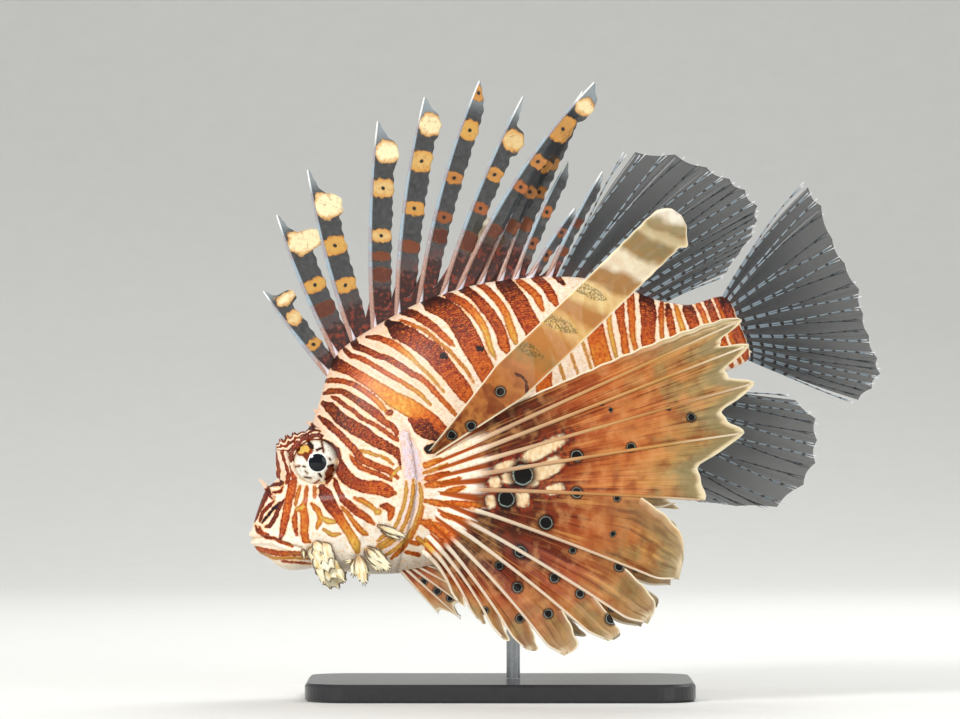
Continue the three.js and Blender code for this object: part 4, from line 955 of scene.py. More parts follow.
# One flat lens, tilted up at its rear, set on every point
def scaleTree():
    tree = bpy.data.node_groups.new("scale coat", "GeometryNodeTree")
    kinds = {"Geometry": "Geometry", "Sides": "Int", "Length": "Float", "Width": "Float", "Thickness": "Float",
             "Tilt": "Float", "Variation": "Float", "Seed": "Int", "Material": "Material"}
    sockets = {name: tree.interface.new_socket(name, in_out="INPUT", socket_type="NodeSocket" + kind)
               for name, kind in kinds.items()}
    tree.interface.new_socket("Geometry", in_out="OUTPUT", socket_type="NodeSocketGeometry")
    given = tree.nodes.new("NodeGroupInput").outputs
    roots, sides, length, width, thickness, tilt, variation, seed, material = (Value(given[name]) for name in kinds)
    lens = {"Segments": sides, "Rings": 2, "Radius": 0.5}
    lens = Value(joinNode(tree, "GeometryNodeMeshUVSphere", lens).outputs["Mesh"])
    flat = lens.node("GeometryNodeTransform", {"Geometry": lens, "Scale": vector(length, width, thickness)})
    lean = tilt.node("ShaderNodeCombineXYZ", {"Y": tilt * (-math.pi / 180)})
    tilted = flat.node("GeometryNodeTransform", {"Geometry": flat, "Rotation": lean})
    aim = joinNode(tree, "GeometryNodeInputNamedAttribute", {"Name": "aim"}, data_type="FLOAT_VECTOR")
    size = joinNode(tree, "GeometryNodeInputNamedAttribute", {"Name": "size"}, data_type="FLOAT")
    aim, size = Value(aim.outputs["Attribute"]), Value(size.outputs["Attribute"])
    spread = {2: variation.rest(), 3: variation + 1.0, "Seed": seed}
    vary = Value(joinNode(tree, "FunctionNodeRandomValue", spread, data_type="FLOAT").outputs[1])
    turned = aim.node("FunctionNodeEulerToRotation", {"Euler": aim})
    placed = roots.node("GeometryNodeInstanceOnPoints", {
        "Points": roots, "Instance": tilted, "Rotation": turned, "Scale": size * vary})
    real = placed.node("GeometryNodeRealizeInstances", {"Geometry": placed})
    soft = real.node("GeometryNodeSetShadeSmooth", {"Geometry": real})
    bend = Value(tree.nodes.new("GeometryNodeInputMeshEdgeAngle").outputs["Unsigned Angle"])
    rim = bend.calc("GREATER_THAN", bend, coat["crispAngle"])
    crisp = {"Geometry": soft, "Selection": rim, "Shade Smooth": False}
    crisp = soft.node("GeometryNodeSetShadeSmooth", crisp, domain="EDGE")
    dressed = crisp.node("GeometryNodeSetMaterial", {"Geometry": crisp, "Material": material})
    feed(tree.nodes.new("NodeGroupOutput").inputs["Geometry"], dressed)
    return tree, {name: socket.identifier for name, socket in sockets.items()}


# The turns about X, Y and Z that lay a lens along the skin
def aimOf(back, normal):
    turn = math.radians(pose["pitch"])
    spin = np.array([[math.cos(turn), 0, -math.sin(turn)], [0, 1, 0], [math.sin(turn), 0, math.cos(turn)]])
    x, z = unit(back) @ spin.T, unit(normal) @ spin.T
    y = np.cross(z, x)
    return np.stack([np.arctan2(y[:, 2], z[:, 2]), -np.arcsin(np.clip(x[:, 2], -1, 1)),
                     np.arctan2(x[:, 1], x[:, 0])], 1)


def buildCoat(material):
    roots, backs, normals, sizes, unwrap = coatRoots()
    tree, sockets = scaleTree()
    print("scales", len(roots))
    random = np.random.default_rng(coat["seed"])
    parts = np.array_split(np.arange(len(roots)), coat["pieces"])
    for index, part in enumerate(parts):
        points = bpy.data.meshes.new("scale_roots")
        points.from_pydata(toWorld(roots[part]).tolist(), [], [])
        aims = points.attributes.new("aim", "FLOAT_VECTOR", "POINT")
        aims.data.foreach_set("vector", aimOf(backs[part], normals[part]).astype(np.float32).ravel())
        points.attributes.new("size", "FLOAT", "POINT").data.foreach_set("value", sizes[part].astype(np.float32))
        carrier = addObject("scale_roots", points)
        modifier = carrier.modifiers.new("scales", "NODES")
        modifier.node_group = tree
        given = {"Sides": coat["sides"], "Length": coat["length"] * milli, "Width": coat["width"] * milli,
                 "Thickness": coat["thickness"] * milli, "Tilt": float(coat["tilt"]), "Variation": coat["variation"],
                 "Seed": coat["seed"] + index, "Material": material}
        for name, value in given.items():
            modifier[sockets[name]] = value
        made = bpy.data.meshes.new_from_object(carrier.evaluated_get(bpy.context.evaluated_depsgraph_get()))
        bpy.data.objects.remove(carrier)
        made.name = f"fish_scales_{index + 1}"
        count = len(made.vertices)
        each = count // len(part)
        place = np.zeros(count * 3, np.float32)
        made.vertices.foreach_get("co", place)
        level = fromWorld(place.reshape(-1, 3))
        own = np.repeat(np.arange(len(part)), each)
        values = skinMarks(level)
        streak = np.array([coat["streak"].get(k, 0.0) for k in range(each)])
        values["dash"] = np.tile(streak, len(part)) * np.repeat(random.random(len(part)) ** coat["boldness"], each)
        values["shade"] = np.repeat(random.uniform(*coat["shades"], len(part)), each)
        for name, value in values.items():
            data = made.attributes.new(name, "FLOAT", "POINT").data
            data.foreach_set("value", value.astype(np.float32))
        away = level - roots[part][own]
        back = np.sum(away * backs[part][own], 1) / coat["length"]
        side = np.sum(away * np.cross(normals[part], backs[part])[own], 1) / coat["length"]
        flat = unwrap[part][own] + np.stack([back, side], 1) * coat["patch"]
        corner = np.zeros(len(made.loops), np.int32)
        made.loops.foreach_get("vertex_index", corner)
        made.uv_layers.new(name="OFBake").data.foreach_set("uv", flat[corner].astype(np.float32).ravel())
        piece = addObject(made.name, made)
        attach(piece, "root")
        print("made", piece.name, len(made.polygons), "faces")


def buildSkin(material):
    around = body["around"]
    share = np.linspace(0, 1, body["stations"])
    stations = body["length"] * share ** body["crowding"]
    turn = np.arange(around) * 2 * math.pi / around - math.pi / 2
    ring, angle = np.meshgrid(stations, turn, indexing="ij")
    grid = bodyPoints(ring, angle)
    past = np.clip((ring - body["roundEnd"]) / (body["length"] - body["roundEnd"]), 0, 1)
    grid[..., 1] *= np.sqrt(np.maximum(1 - past ** 2, body["endBreadth"]))
    grid[..., 2] = mix(grid[..., 2], widestLine(ring), body["endPinch"] * past ** 2)
    cap = []
    centre = np.array([0, 0, widestLine(0.0)])
    for k in range(body["capRings"], 0, -1):            # the snout rounds off in front of the first ring
        lean = k / (body["capRings"] + 1) * math.pi / 2
        shrunk = centre + (grid[0] - centre) * [1, math.cos(lean), math.cos(lean)]
        shrunk[:, 0] = -body["snout"] * math.sin(lean)
        cap.append(shrunk)
    grid = np.concatenate([np.array(cap), grid])
    normal = unit(np.cross(np.gradient(grid, axis=0), np.roll(grid, -1, 1) - np.roll(grid, 1, 1)))
    if np.sum(normal[..., 1] * grid[..., 1]) < 0:
        normal = -normal
    under = coat["depth"] * smoothStep(*coat["sunk"], grid[..., 0])
    grid = grid + normal * (headRelief(grid) - under)[..., None]
    points = np.concatenate([grid.reshape(-1, 3), [grid[0].mean(0)], [grid[-1].mean(0)]])
    shape = Shape()
    shape.add(points, closedFaces(len(grid), around), shade=1.0, dash=body["dash"], **skinMarks(points))
    nodes = ["head", "lower_jaw", "torso", "tail_stalk", "gill_cover_left", "gill_cover_right"]
    shape.build("fish_skin", material, "skin", nodes)


def buildEye(name, side, material):
    rows, columns = eye["rows"], eye["columns"]
    lean = np.linspace(0, math.pi, rows + 2)[1:-1]
    turn = np.arange(columns) * 2 * math.pi / columns
    a, b = np.meshgrid(lean, turn, indexing="ij")
    ball = np.stack([np.sin(a) * np.cos(b), side * np.cos(a), np.sin(a) * np.sin(b)], -1)
    centre = np.array([eye["s"], side * eye["y"], eye["h"]])
    points = (centre + ball * eye["radius"]).reshape(-1, 3)
    poles = centre + np.array([[0, side * 1.0, 0], [0, -side * 1.0, 0]]) * eye["radius"]
    whole = np.concatenate([points, poles])
    disc = (whole - centre) / eye["radius"] * [1, 0, 1]
    bulge = 1 + eye["bulge"] * np.exp(-np.sum(disc ** 2, 1) / eye["bulgeBreadth"])
    whole = centre + (whole - centre) * bulge[:, None]
    edge, tone = markLines(whole[:, [0, 2]], eyeLines)
    shape = Shape()
    shape.add(whole, closedFaces(rows, columns, flip=side < 0), disc=disc, edge=edge, tone=tone)
    shape.build(f"fish_{name}", material, "eye", [name])


# Fins: rays are curves from root to tip, with a membrane between them
def rayLine(ray, v):
    v = np.asarray(v, float)[..., None]
    return ray["root"] * (1 - v) ** 2 + ray["bend"] * 2 * v * (1 - v) + ray["tip"] * v * v


def betweenRays(low, high, rows, c):
    return mix(rayLine(low, rows), rayLine(high, rows), c[None, :, None])


def midlineRay(x, z, length, angle, lean=0, bow=0, vane=0):
    turn = math.radians(angle)
    along = np.array([math.cos(turn), 0, math.sin(turn)])
    upward = np.array([-math.sin(turn), 0, math.cos(turn)])
    root = np.array([x, 0.0, z]) - along * 4
    tip = np.array([x, lean, z]) + along * length
    bend = (root + tip) / 2 + upward * bow * length
    return {"root": root, "bend": bend, "tip": tip, "vane": vane, "across": -upward, "length": length}


dorsalSpines = {
    "spines": [            # foot along the back and above it, length, angle, lean, bow, breadth of the vane
        [57, 54.5, 46, 106, 0, 0.03, 8], [63.5, 60.5, 67, 91, 0, 0.05, 11], [72.8, 63.5, 78, 83, 0, 0.05, 11],
        [83.4, 65.5, 91, 67, 0, 0.05, 10.5], [95.4, 67.3, 96, 61, 0, 0.06, 10],
        [106.3, 68.2, 101, 53, -2, 0.07, 8.5], [117.5, 68.3, 93, 46, -5, 0.05, 8],
        [125, 67.2, 108, 35, -9, 0.1, 7.5], [134, 66, 96, 40, 3, 0.06, 7], [142.6, 64, 86, 45, 13, 0.05, 6.5],
        [149, 62.3, 57, 44, 7, 0.05, 5], [155.5, 60.6, 36, 35, 2, 0.04, 4], [163, 57.6, 52, 41, 0, 0.04, 4],
    ],
    "patches": [           # for each spine: where along it, half length, tone
        [[0.36, 2.2, 0.75], [0.65, 3.2, 0.9], [0.83, 2.6, 1]],
        [[0.35, 3, 0.3], [0.51, 3, 0.8], [0.79, 5.5, 0.98]],
        [[0.35, 3.2, 0.78], [0.57, 4, 0.8], [0.79, 6, 1]],
        [[0.29, 3, 0.3], [0.375, 2, 0.4], [0.47, 3, 0.85], [0.69, 4, 0.85], [0.86, 5, 1]],
        [[0.34, 2.6, 0.4], [0.51, 3, 0.75], [0.72, 4.6, 0.82], [0.885, 5, 0.97]],
        [[0.33, 3, 0.2], [0.41, 2.4, 0.5], [0.58, 2.6, 0.65], [0.79, 4.4, 0.8], [0.95, 3.4, 0.7]],
        [[0.3, 4, 0.3], [0.46, 2.4, 0.55], [0.625, 3, 0.7], [0.8, 4.6, 0.88]],
        [[0.3, 3, 0.35], [0.5, 2.4, 0.6], [0.62, 3, 0.65], [0.78, 6, 0.72], [0.9, 4, 0.95]],
        [[0.33, 3, 0.4], [0.5, 2.6, 0.65], [0.63, 3, 0.7], [0.8, 4.5, 0.75]],
        [[0.35, 3, 0.45], [0.52, 2.6, 0.65], [0.68, 3, 0.7]],
        [[0.35, 2.5, 0.5], [0.6, 2.5, 0.6]],
        [[0.4, 2.5, 0.5], [0.7, 2, 0.5]],
        [[0.3, 2, 0.4], [0.55, 2, 0.3]],
    ],
    "vane": [[0, 0.4], [0.12, 0.8], [0.4, 0.88], [0.68, 0.9]],       # how broad it is along the spine
    "plainEnd": [[0.84, 0.85], [0.92, 0.6]],
    "ragged": ((0.25, 1.3, 1), (0.2, 0.53, 2)), "wave": (0.45, 26),
    "flagTone": 0.87,      # a patch this pale is a flag that stands out behind the vane
    "flagBreadths": (1.36, 1.53, 1.15, 1.03, 1.0, 1.2, 1.2, 1.1),
    "dotTones": (0.5, 0.87), "dot": 0.95,
    "shaft": (1.25, 0.35), "sheath": (2.3, 0.7, 11),
    "membrane": 0.3, "rows": 150, "columns": 9, "webTop": 0.2, "webHollow": 0.55, "webRows": 12, "webColumns": 16,
}


# How broad a vane is along its spine, with a flag near the tip where it has one
def vaneShape(flag, breadth):
    points = list(dorsalSpines["vane"])
    if flag:
        points += [[flag - 0.075, 0.88], [flag - 0.055, breadth * 0.93], [flag, breadth],
                   [flag + 0.05, breadth * 0.75], [flag + 0.066, 0.5]]
    else:
        points += dorsalSpines["plainEnd"]
    return smoothLine(points + [[1, 0.05]])


# Distance to the nearest patch along a spine, its tone, and the place from its dark dot
def patchMarks(v, across, breadth, length, patches):
    edge = np.full(v.shape, 6.0)
    tone = np.zeros(v.shape)
    dot = np.full(v.shape + (3,), 9.0)
    for centre, half, own in patches:
        along = (v - centre) * length + 0 * across
        near = across / np.maximum(breadth, 0.1) if np.ndim(across) else 0.5
        gap = np.abs(along) - half + 1.1 * (2 * near - 1) ** 2
        if own >= dorsalSpines["flagTone"]:
            gap = gap + 9 * np.maximum(0, 0.3 - near)
        over = gap < edge
        edge = np.where(over, gap, edge)
        tone = np.where(over, own, tone)
        if dorsalSpines["dotTones"][0] <= own < dorsalSpines["dotTones"][1]:
            offset = np.stack([along, across - breadth * 0.5 + 0 * v, 0 * v], -1) / dorsalSpines["dot"]
            close = np.linalg.norm(offset, axis=-1) < np.linalg.norm(dot, axis=-1)
            dot = np.where(close[..., None], offset, dot)
    return edge, tone, dot


def buildSpinyDorsal(material):
    shape = Shape()
    rays = [midlineRay(*row) for row in dorsalSpines["spines"]]
    rows, columns = dorsalSpines["rows"], dorsalSpines["columns"]
    v = np.linspace(0, 1, rows)
    c = np.linspace(0, 1, columns)
    thin = dorsalSpines["membrane"]
    for i, ray in enumerate(rays):
        patches = dorsalSpines["patches"][i]
        flags = [patch[0] for patch in patches if patch[2] >= dorsalSpines["flagTone"]]
        length = ray["length"]
        path = rayLine(ray, v)
        breadths = dorsalSpines["flagBreadths"]
        width = ray["vane"] * vaneShape(flags[-1] if flags else 0, breadths[min(i, len(breadths) - 1)])(v)
        edge, tone, _ = patchMarks(v, 0, 0, length, patches)
        addTube(shape, path, mix(*dorsalSpines["shaft"], v), 10, along=v, across=0.0, ray=1.0, lobe=float(i),
                edge=edge, tone=tone)
        foot, top, reach = dorsalSpines["sheath"]
        low = np.linspace(0, min(reach / length, 0.3), 12)
        addTube(shape, rayLine(ray, low) + ray["across"] * (0.5 - low[:, None]),
                mix(foot, top, (low / low[-1]) ** 0.7), 12, flat=0.8, along=low, ray=1.0, sheath=1.0)
        if i + 1 < len(rays):
            room = np.linalg.norm(rayLine(rays[i + 1], v) - path, axis=1)
            width = np.where(v < 0.3, np.minimum(width, room * 0.8), width)
        ragged = waves(v * length, *((size, rate, start * i) for size, rate, start in dorsalSpines["ragged"]))
        width = np.maximum(width + ragged * smoothStep(0.1, 0.3, v) * (1 - smoothStep(0.9, 1, v)), 0.1)
        wave = waves(v, (*dorsalSpines["wave"], i))[:, None] * c[None, :] ** 2
        grid = path[:, None] + ray["across"] * (width[:, None] * c)[..., None]
        grid = grid + sideways * wave[..., None]
        high = np.broadcast_to(v[:, None], (rows, columns))
        edge, tone, dot = patchMarks(high, width[:, None] * c, width[:, None], length, patches)
        addSheet(shape, grid, thin, along=high, across=c[None, :], ray=0.0, lobe=float(i), edge=edge, tone=tone,
                 dot=dot)
    for i in range(len(rays) - 1):
        w = np.linspace(0, 1, dorsalSpines["webRows"])
        c = np.linspace(0, 1, dorsalSpines["webColumns"])
        top = dorsalSpines["webTop"] * (1 - dorsalSpines["webHollow"] * np.sin(np.pi * c))
        high = w[:, None] * top[None, :]
        grid = betweenRays(rays[i], rays[i + 1], high, c)
        addSheet(shape, grid, thin, along=high, across=c[None, :], ray=0.0, lobe=float(i))
    shape.build("fish_spiny_dorsal_fin", material, "banded_fin", ["spiny_dorsal_fin"])


softFins = {
    "soft_dorsal_fin": [
        [168, 55.6, 65, 37, 0, 0.06], [173.5, 53.2, 71, 28.5, 0, 0.06], [178.5, 50.4, 73, 21, 0, 0.05],
        [183, 47.6, 74, 16, 0, 0.04], [187.5, 44.5, 73, 13, 0, 0.03], [192, 40.8, 70, 9.5, 0, 0.02],
        [196, 37.6, 63, 8, 0, 0.02], [200, 34, 54, 7, 0, 0.02], [203.2, 31.2, 42, 6, 0, 0.02],
        [206, 28.5, 31, 3, 0, 0.02],
    ],
    "tail_fin": [
        [231.5, 19.8, 62, 31, 0, 0.1], [232, 17.5, 60, 24, 0, 0.07], [232, 15, 55, 12, 0, 0.03],
        [232, 11.5, 55, 3, 0, 0.01], [232, 8.2, 57, -7], [232, 5, 56, -15], [232, 1.8, 57, -22, 0, -0.01],
        [232, -1.2, 60, -29, 0, -0.01], [232, -3.8, 61, -33, 0, -0.02], [231.5, -6, 58, -38, 0, -0.03],
        [231, -8, 53, -43, 0, -0.04],
    ],
    "anal_fin": [
        [159.6, -27.2, 43, -49, 0, -0.04], [168, -24.8, 55, -51, 0, -0.05], [175.4, -22.6, 68, -50, 0, -0.06],
        [182.6, -20.6, 71, -44, 0, -0.05], [189.2, -18.6, 69, -40, 0, -0.03], [195.5, -16.8, 63, -36, 0, -0.02],
        [201.8, -15, 56, -32], [207.2, -13.3, 42, -29],
    ],
}
softForm = {               # the rays fork at one place along them, and each branch forks again near the tip
    "rows": 56, "columns": 9, "membrane": 0.25, "ray": (0.5, 0.24), "edge": 0.985, "hollow": 0.02, "sag": 0.5,
    "branches": (-1.5, -0.5, 0.5, 1.5), "fork": (0.3, 0.9), "spread": 0.2, "pair": 0.4,
    "secondFork": (0.78, 1), "secondSpread": 0.12, "outer": (0.7, 0.985), "inner": (0, 0.97), "outerThin": 0.8,
}


def buildSoftFin(name, material):
    shape = Shape()
    rays = [midlineRay(*row) for row in softFins[name]]
    v = np.linspace(0, 1, softForm["rows"])
    c = np.linspace(0, 1, softForm["columns"])
    for i, ray in enumerate(rays):
        length = ray["length"]
        whole = rayLine(ray, v)
        before = rayLine(rays[max(i - 1, 0)], v)
        after = rayLine(rays[min(i + 1, len(rays) - 1)], v)
        gap = (after - before) / (2 if 0 < i < len(rays) - 1 else 1)
        for branch in softForm["branches"]:
            side, outer = np.sign(branch), abs(branch) > 1
            shift = side * smoothStep(*softForm["fork"], v) * softForm["spread"]
            shift = shift + (branch - side) * smoothStep(*softForm["secondFork"], v) * softForm["secondSpread"]
            path = whole + gap * shift[:, None] + unit(gap) * side * softForm["pair"]
            start, end = softForm["outer" if outer else "inner"]
            use = (v >= start) & (v <= end)
            radius = mix(*softForm["ray"], v[use]) * (softForm["outerThin"] if outer else 1)
            addTube(shape, path[use], radius, 6, along=v[use] * length, share=v[use], ray=1.0, lobe=float(i))
    for i in range(len(rays) - 1):
        edge = softForm["edge"] - softForm["hollow"] * np.sin(np.pi * c)
        rows = v[:, None] * edge[None, :]
        grid = betweenRays(rays[i], rays[i + 1], rows, c)
        sag = softForm["sag"] * np.sin(np.pi * c)[None, :] * (-1) ** i * smoothStep(0, 0.3, v)[:, None]
        grid = grid + sideways * sag[..., None]
        length = mix(rays[i]["length"], rays[i + 1]["length"], c)
        addSheet(shape, grid, softForm["membrane"], along=rows * length[None, :], share=rows, ray=0.0,
                 lobe=float(i))
    shape.build(f"fish_{name}", material, "clear_fin", [name])


pectoralForm = {
    "top": (85.5, 4.5), "bottom": (67, -33), "bulge": 4, "sunk": 3,      # the fin's foot on the body
    "rows": 120, "columns": 17, "membrane": 0.35, "ray": (1.15, 0.45), "rayEnd": 0.985, "rim": 0.8, "dash": 0.35,
    "flesh": 4.5, "fleshEnd": 0.25, "sag": 1.6, "pleat": 0.25, "ripple": (0.3, 0.6),
    "bladeHalf": 9.5, "bladeRay": 0.12, "bladeEnd": 0.9, "bladeLift": 4.0, "liftEnd": 0.45, "bladeCurl": 1.2,
    "bladeMarks": 0.3,     # where along the blade its own lines take over from the body's
    "hook": (0.3, 0.955, 0.014), "bladeRagged": (0.02, 140),
    "webbed": 0.8, "hollow": 0.09, "fingers": 6, "curl": 3.2, "curlFrom": 0.88, "tongueEnd": 5, "tongueTaper": 0.22,
    "patchEdge": 1.3, "patches": [         # by the big eyespots: back, up, half length, half breadth, turn
        [114.3, -11.8, 4.5, 2.0, 3], [132.5, -11.1, 10.2, 2.9, 7], [130.7, -19.4, 7.8, 3.6, 8],
        [107.4, -17.0, 2.5, 2.5, -8], [113.9, -17.4, 3.0, 2.5, -8], [116.0, -27.4, 3.0, 3.9, -14],
        [130.3, -29.1, 4.0, 2.3, -10], [103.0, -23.9, 2.2, 2.9, -16], [122.2, -22.9, 2.8, 1.7, -6],
    ],
    "spots": [             # eyespots on the near fin: back, up, radius
        [124.4, 19, 2.2], [107.4, 9.8, 2.2], [98.4, 9.4, 2.1], [92.5, 1.1, 1.6], [119.9, -18.1, 5], [109.4, -25.2, 4],
        [144.6, -19, 2.7], [138.7, -33.7, 2.5], [153.8, -42.2, 1.5], [121.5, -41, 3.1], [146.4, -55.8, 1.3],
        [106.5, -48.7, 2.7], [127.7, -56.3, 1.5], [143.6, -69.9, 2.1], [95.7, -51, 1.9], [115.9, -64.4, 2.1],
        [99.5, -62.5, 2.3], [123.6, -74.6, 1.9], [82.7, -66.6, 1.5], [95.4, -75.1, 1.8], [107.7, -77.7, 2],
        [131.9, -89.4, 2.5], [167.5, -24, 2], [196, -21.5, 1.9], [163, -2, 1], [165.5, -6, 1], [188.5, -14.5, 1.1],
    ],
    "farSpots": ((0.42, 3), (0.62, 2.2), (0.8, 1.8)),    # on the far fin: where along each lobe, radius
}
bladeLines = [             # a maroon crescent and three olive patches
    [[0.1], [0.9, 0.7, 0.6, 0.8, 0.5], [133.2, 24.2, 135.4, 21.5, 136.2, 18.6, 135.6, 15.8, 133.2, 12.2]],
    [[0.8], [1.8, 2.6, 1.6], [137.4, 36.5, 142.6, 31.4, 146.6, 26]],
    [[0.8], [1.8, 2.8, 2.8, 1.8], [150.5, 45, 155.5, 40, 160, 35.5, 164, 30.5]],
    [[0.8], [1.6, 2.4, 2.4, 1.8], [168.6, 53.5, 172.5, 48.5, 177, 43.5, 181, 38.8]],
]
pectoralRays = {           # tip back, tip up, how far out it stands, where the web to the next ray ends
    "left": [
        [224, 60, 92, 0.125], [231, 9, 98, 0.875], [230, -2, 99, 0.875], [226, -18, 100, 0.875],
        [214, -36, 98, 0.875], [188, -56.5, 90, 0.75], [163, -86.5, 80, 0.75], [143, -98.5, 74, 0.75],
        [124, -97.5, 68, 0.75], [104, -96.5, 62, 0.75], [90.5, -86.5, 56, 0.75], [83.5, -78.5, 51, 0.75],
        [77, -66, 45, 0.75], [72, -56.5, 38, 0],
    ],
    "right": [
        [150, 92.5, 104, 0.125], [166, 40, 118, 0.875], [172, 18, 120, 0.875], [180, -5, 120, 0.875],
        [184, -28, 116, 0.875], [184, -48, 110, 0.875], [180, -62, 104, 0.75], [174, -75, 98, 0.75],
        [170, -84, 92, 0.75], [161, -94, 86, 0.75], [151, -100, 80, 0.75], [141, -105, 74, 0.75],
        [127, -104, 67, 0.75], [112, -94, 60, 0],
    ],
}


def fanRays(name, side):
    rays = []
    table = pectoralRays[name]
    for i, (x, z, out, notch) in enumerate(table):
        share = i / (len(table) - 1)
        top, bottom = pectoralForm["top"], pectoralForm["bottom"]
        rootS = mix(top[0], bottom[0], share) + pectoralForm["bulge"] * math.sin(math.pi * share)
        rootH = mix(top[1], bottom[1], share)
        root = np.array([rootS, side * (float(bodySide(rootS, rootH)) - pectoralForm["sunk"]), rootH])
        tip = np.array([x, side * out, z], float)
        bend = (root + tip) / 2 + [4, side * 6, 0]
        rays.append({"root": root, "bend": bend, "tip": tip, "notch": notch})
    return rays


# How much of its breadth the blade keeps towards its round end
def lobeEnd(v, notch):
    share = np.clip((v - notch) / (1 - notch), 0, 1)
    return np.sqrt(np.maximum(1 - share ** 3.5, 0))


def acrossRay(rays, i, v):
    path = rayLine(rays[i], v)
    along = unit(np.gradient(path, axis=0))
    toward = rayLine(rays[min(i + 1, len(rays) - 1)], v) - rayLine(rays[max(i - 1, 0)], v)
    toward = toward - along * np.sum(toward * along, 1, keepdims=True)
    return unit(toward)


def nearestSpot(points, spots):
    dot = np.full(points.shape[:-1] + (3,), 9.0)
    best = np.full(points.shape[:-1], 3.5)
    for x, z, radius in spots:
        offset = (points - [x, z]) / radius
        gap = np.linalg.norm(offset, axis=-1)
        near = gap < best
        far = np.maximum(gap - 1.5, 0)[..., None] * 9
        dot[near] = np.concatenate([offset, far], -1)[near]
        best = np.minimum(best, gap)
    return dot


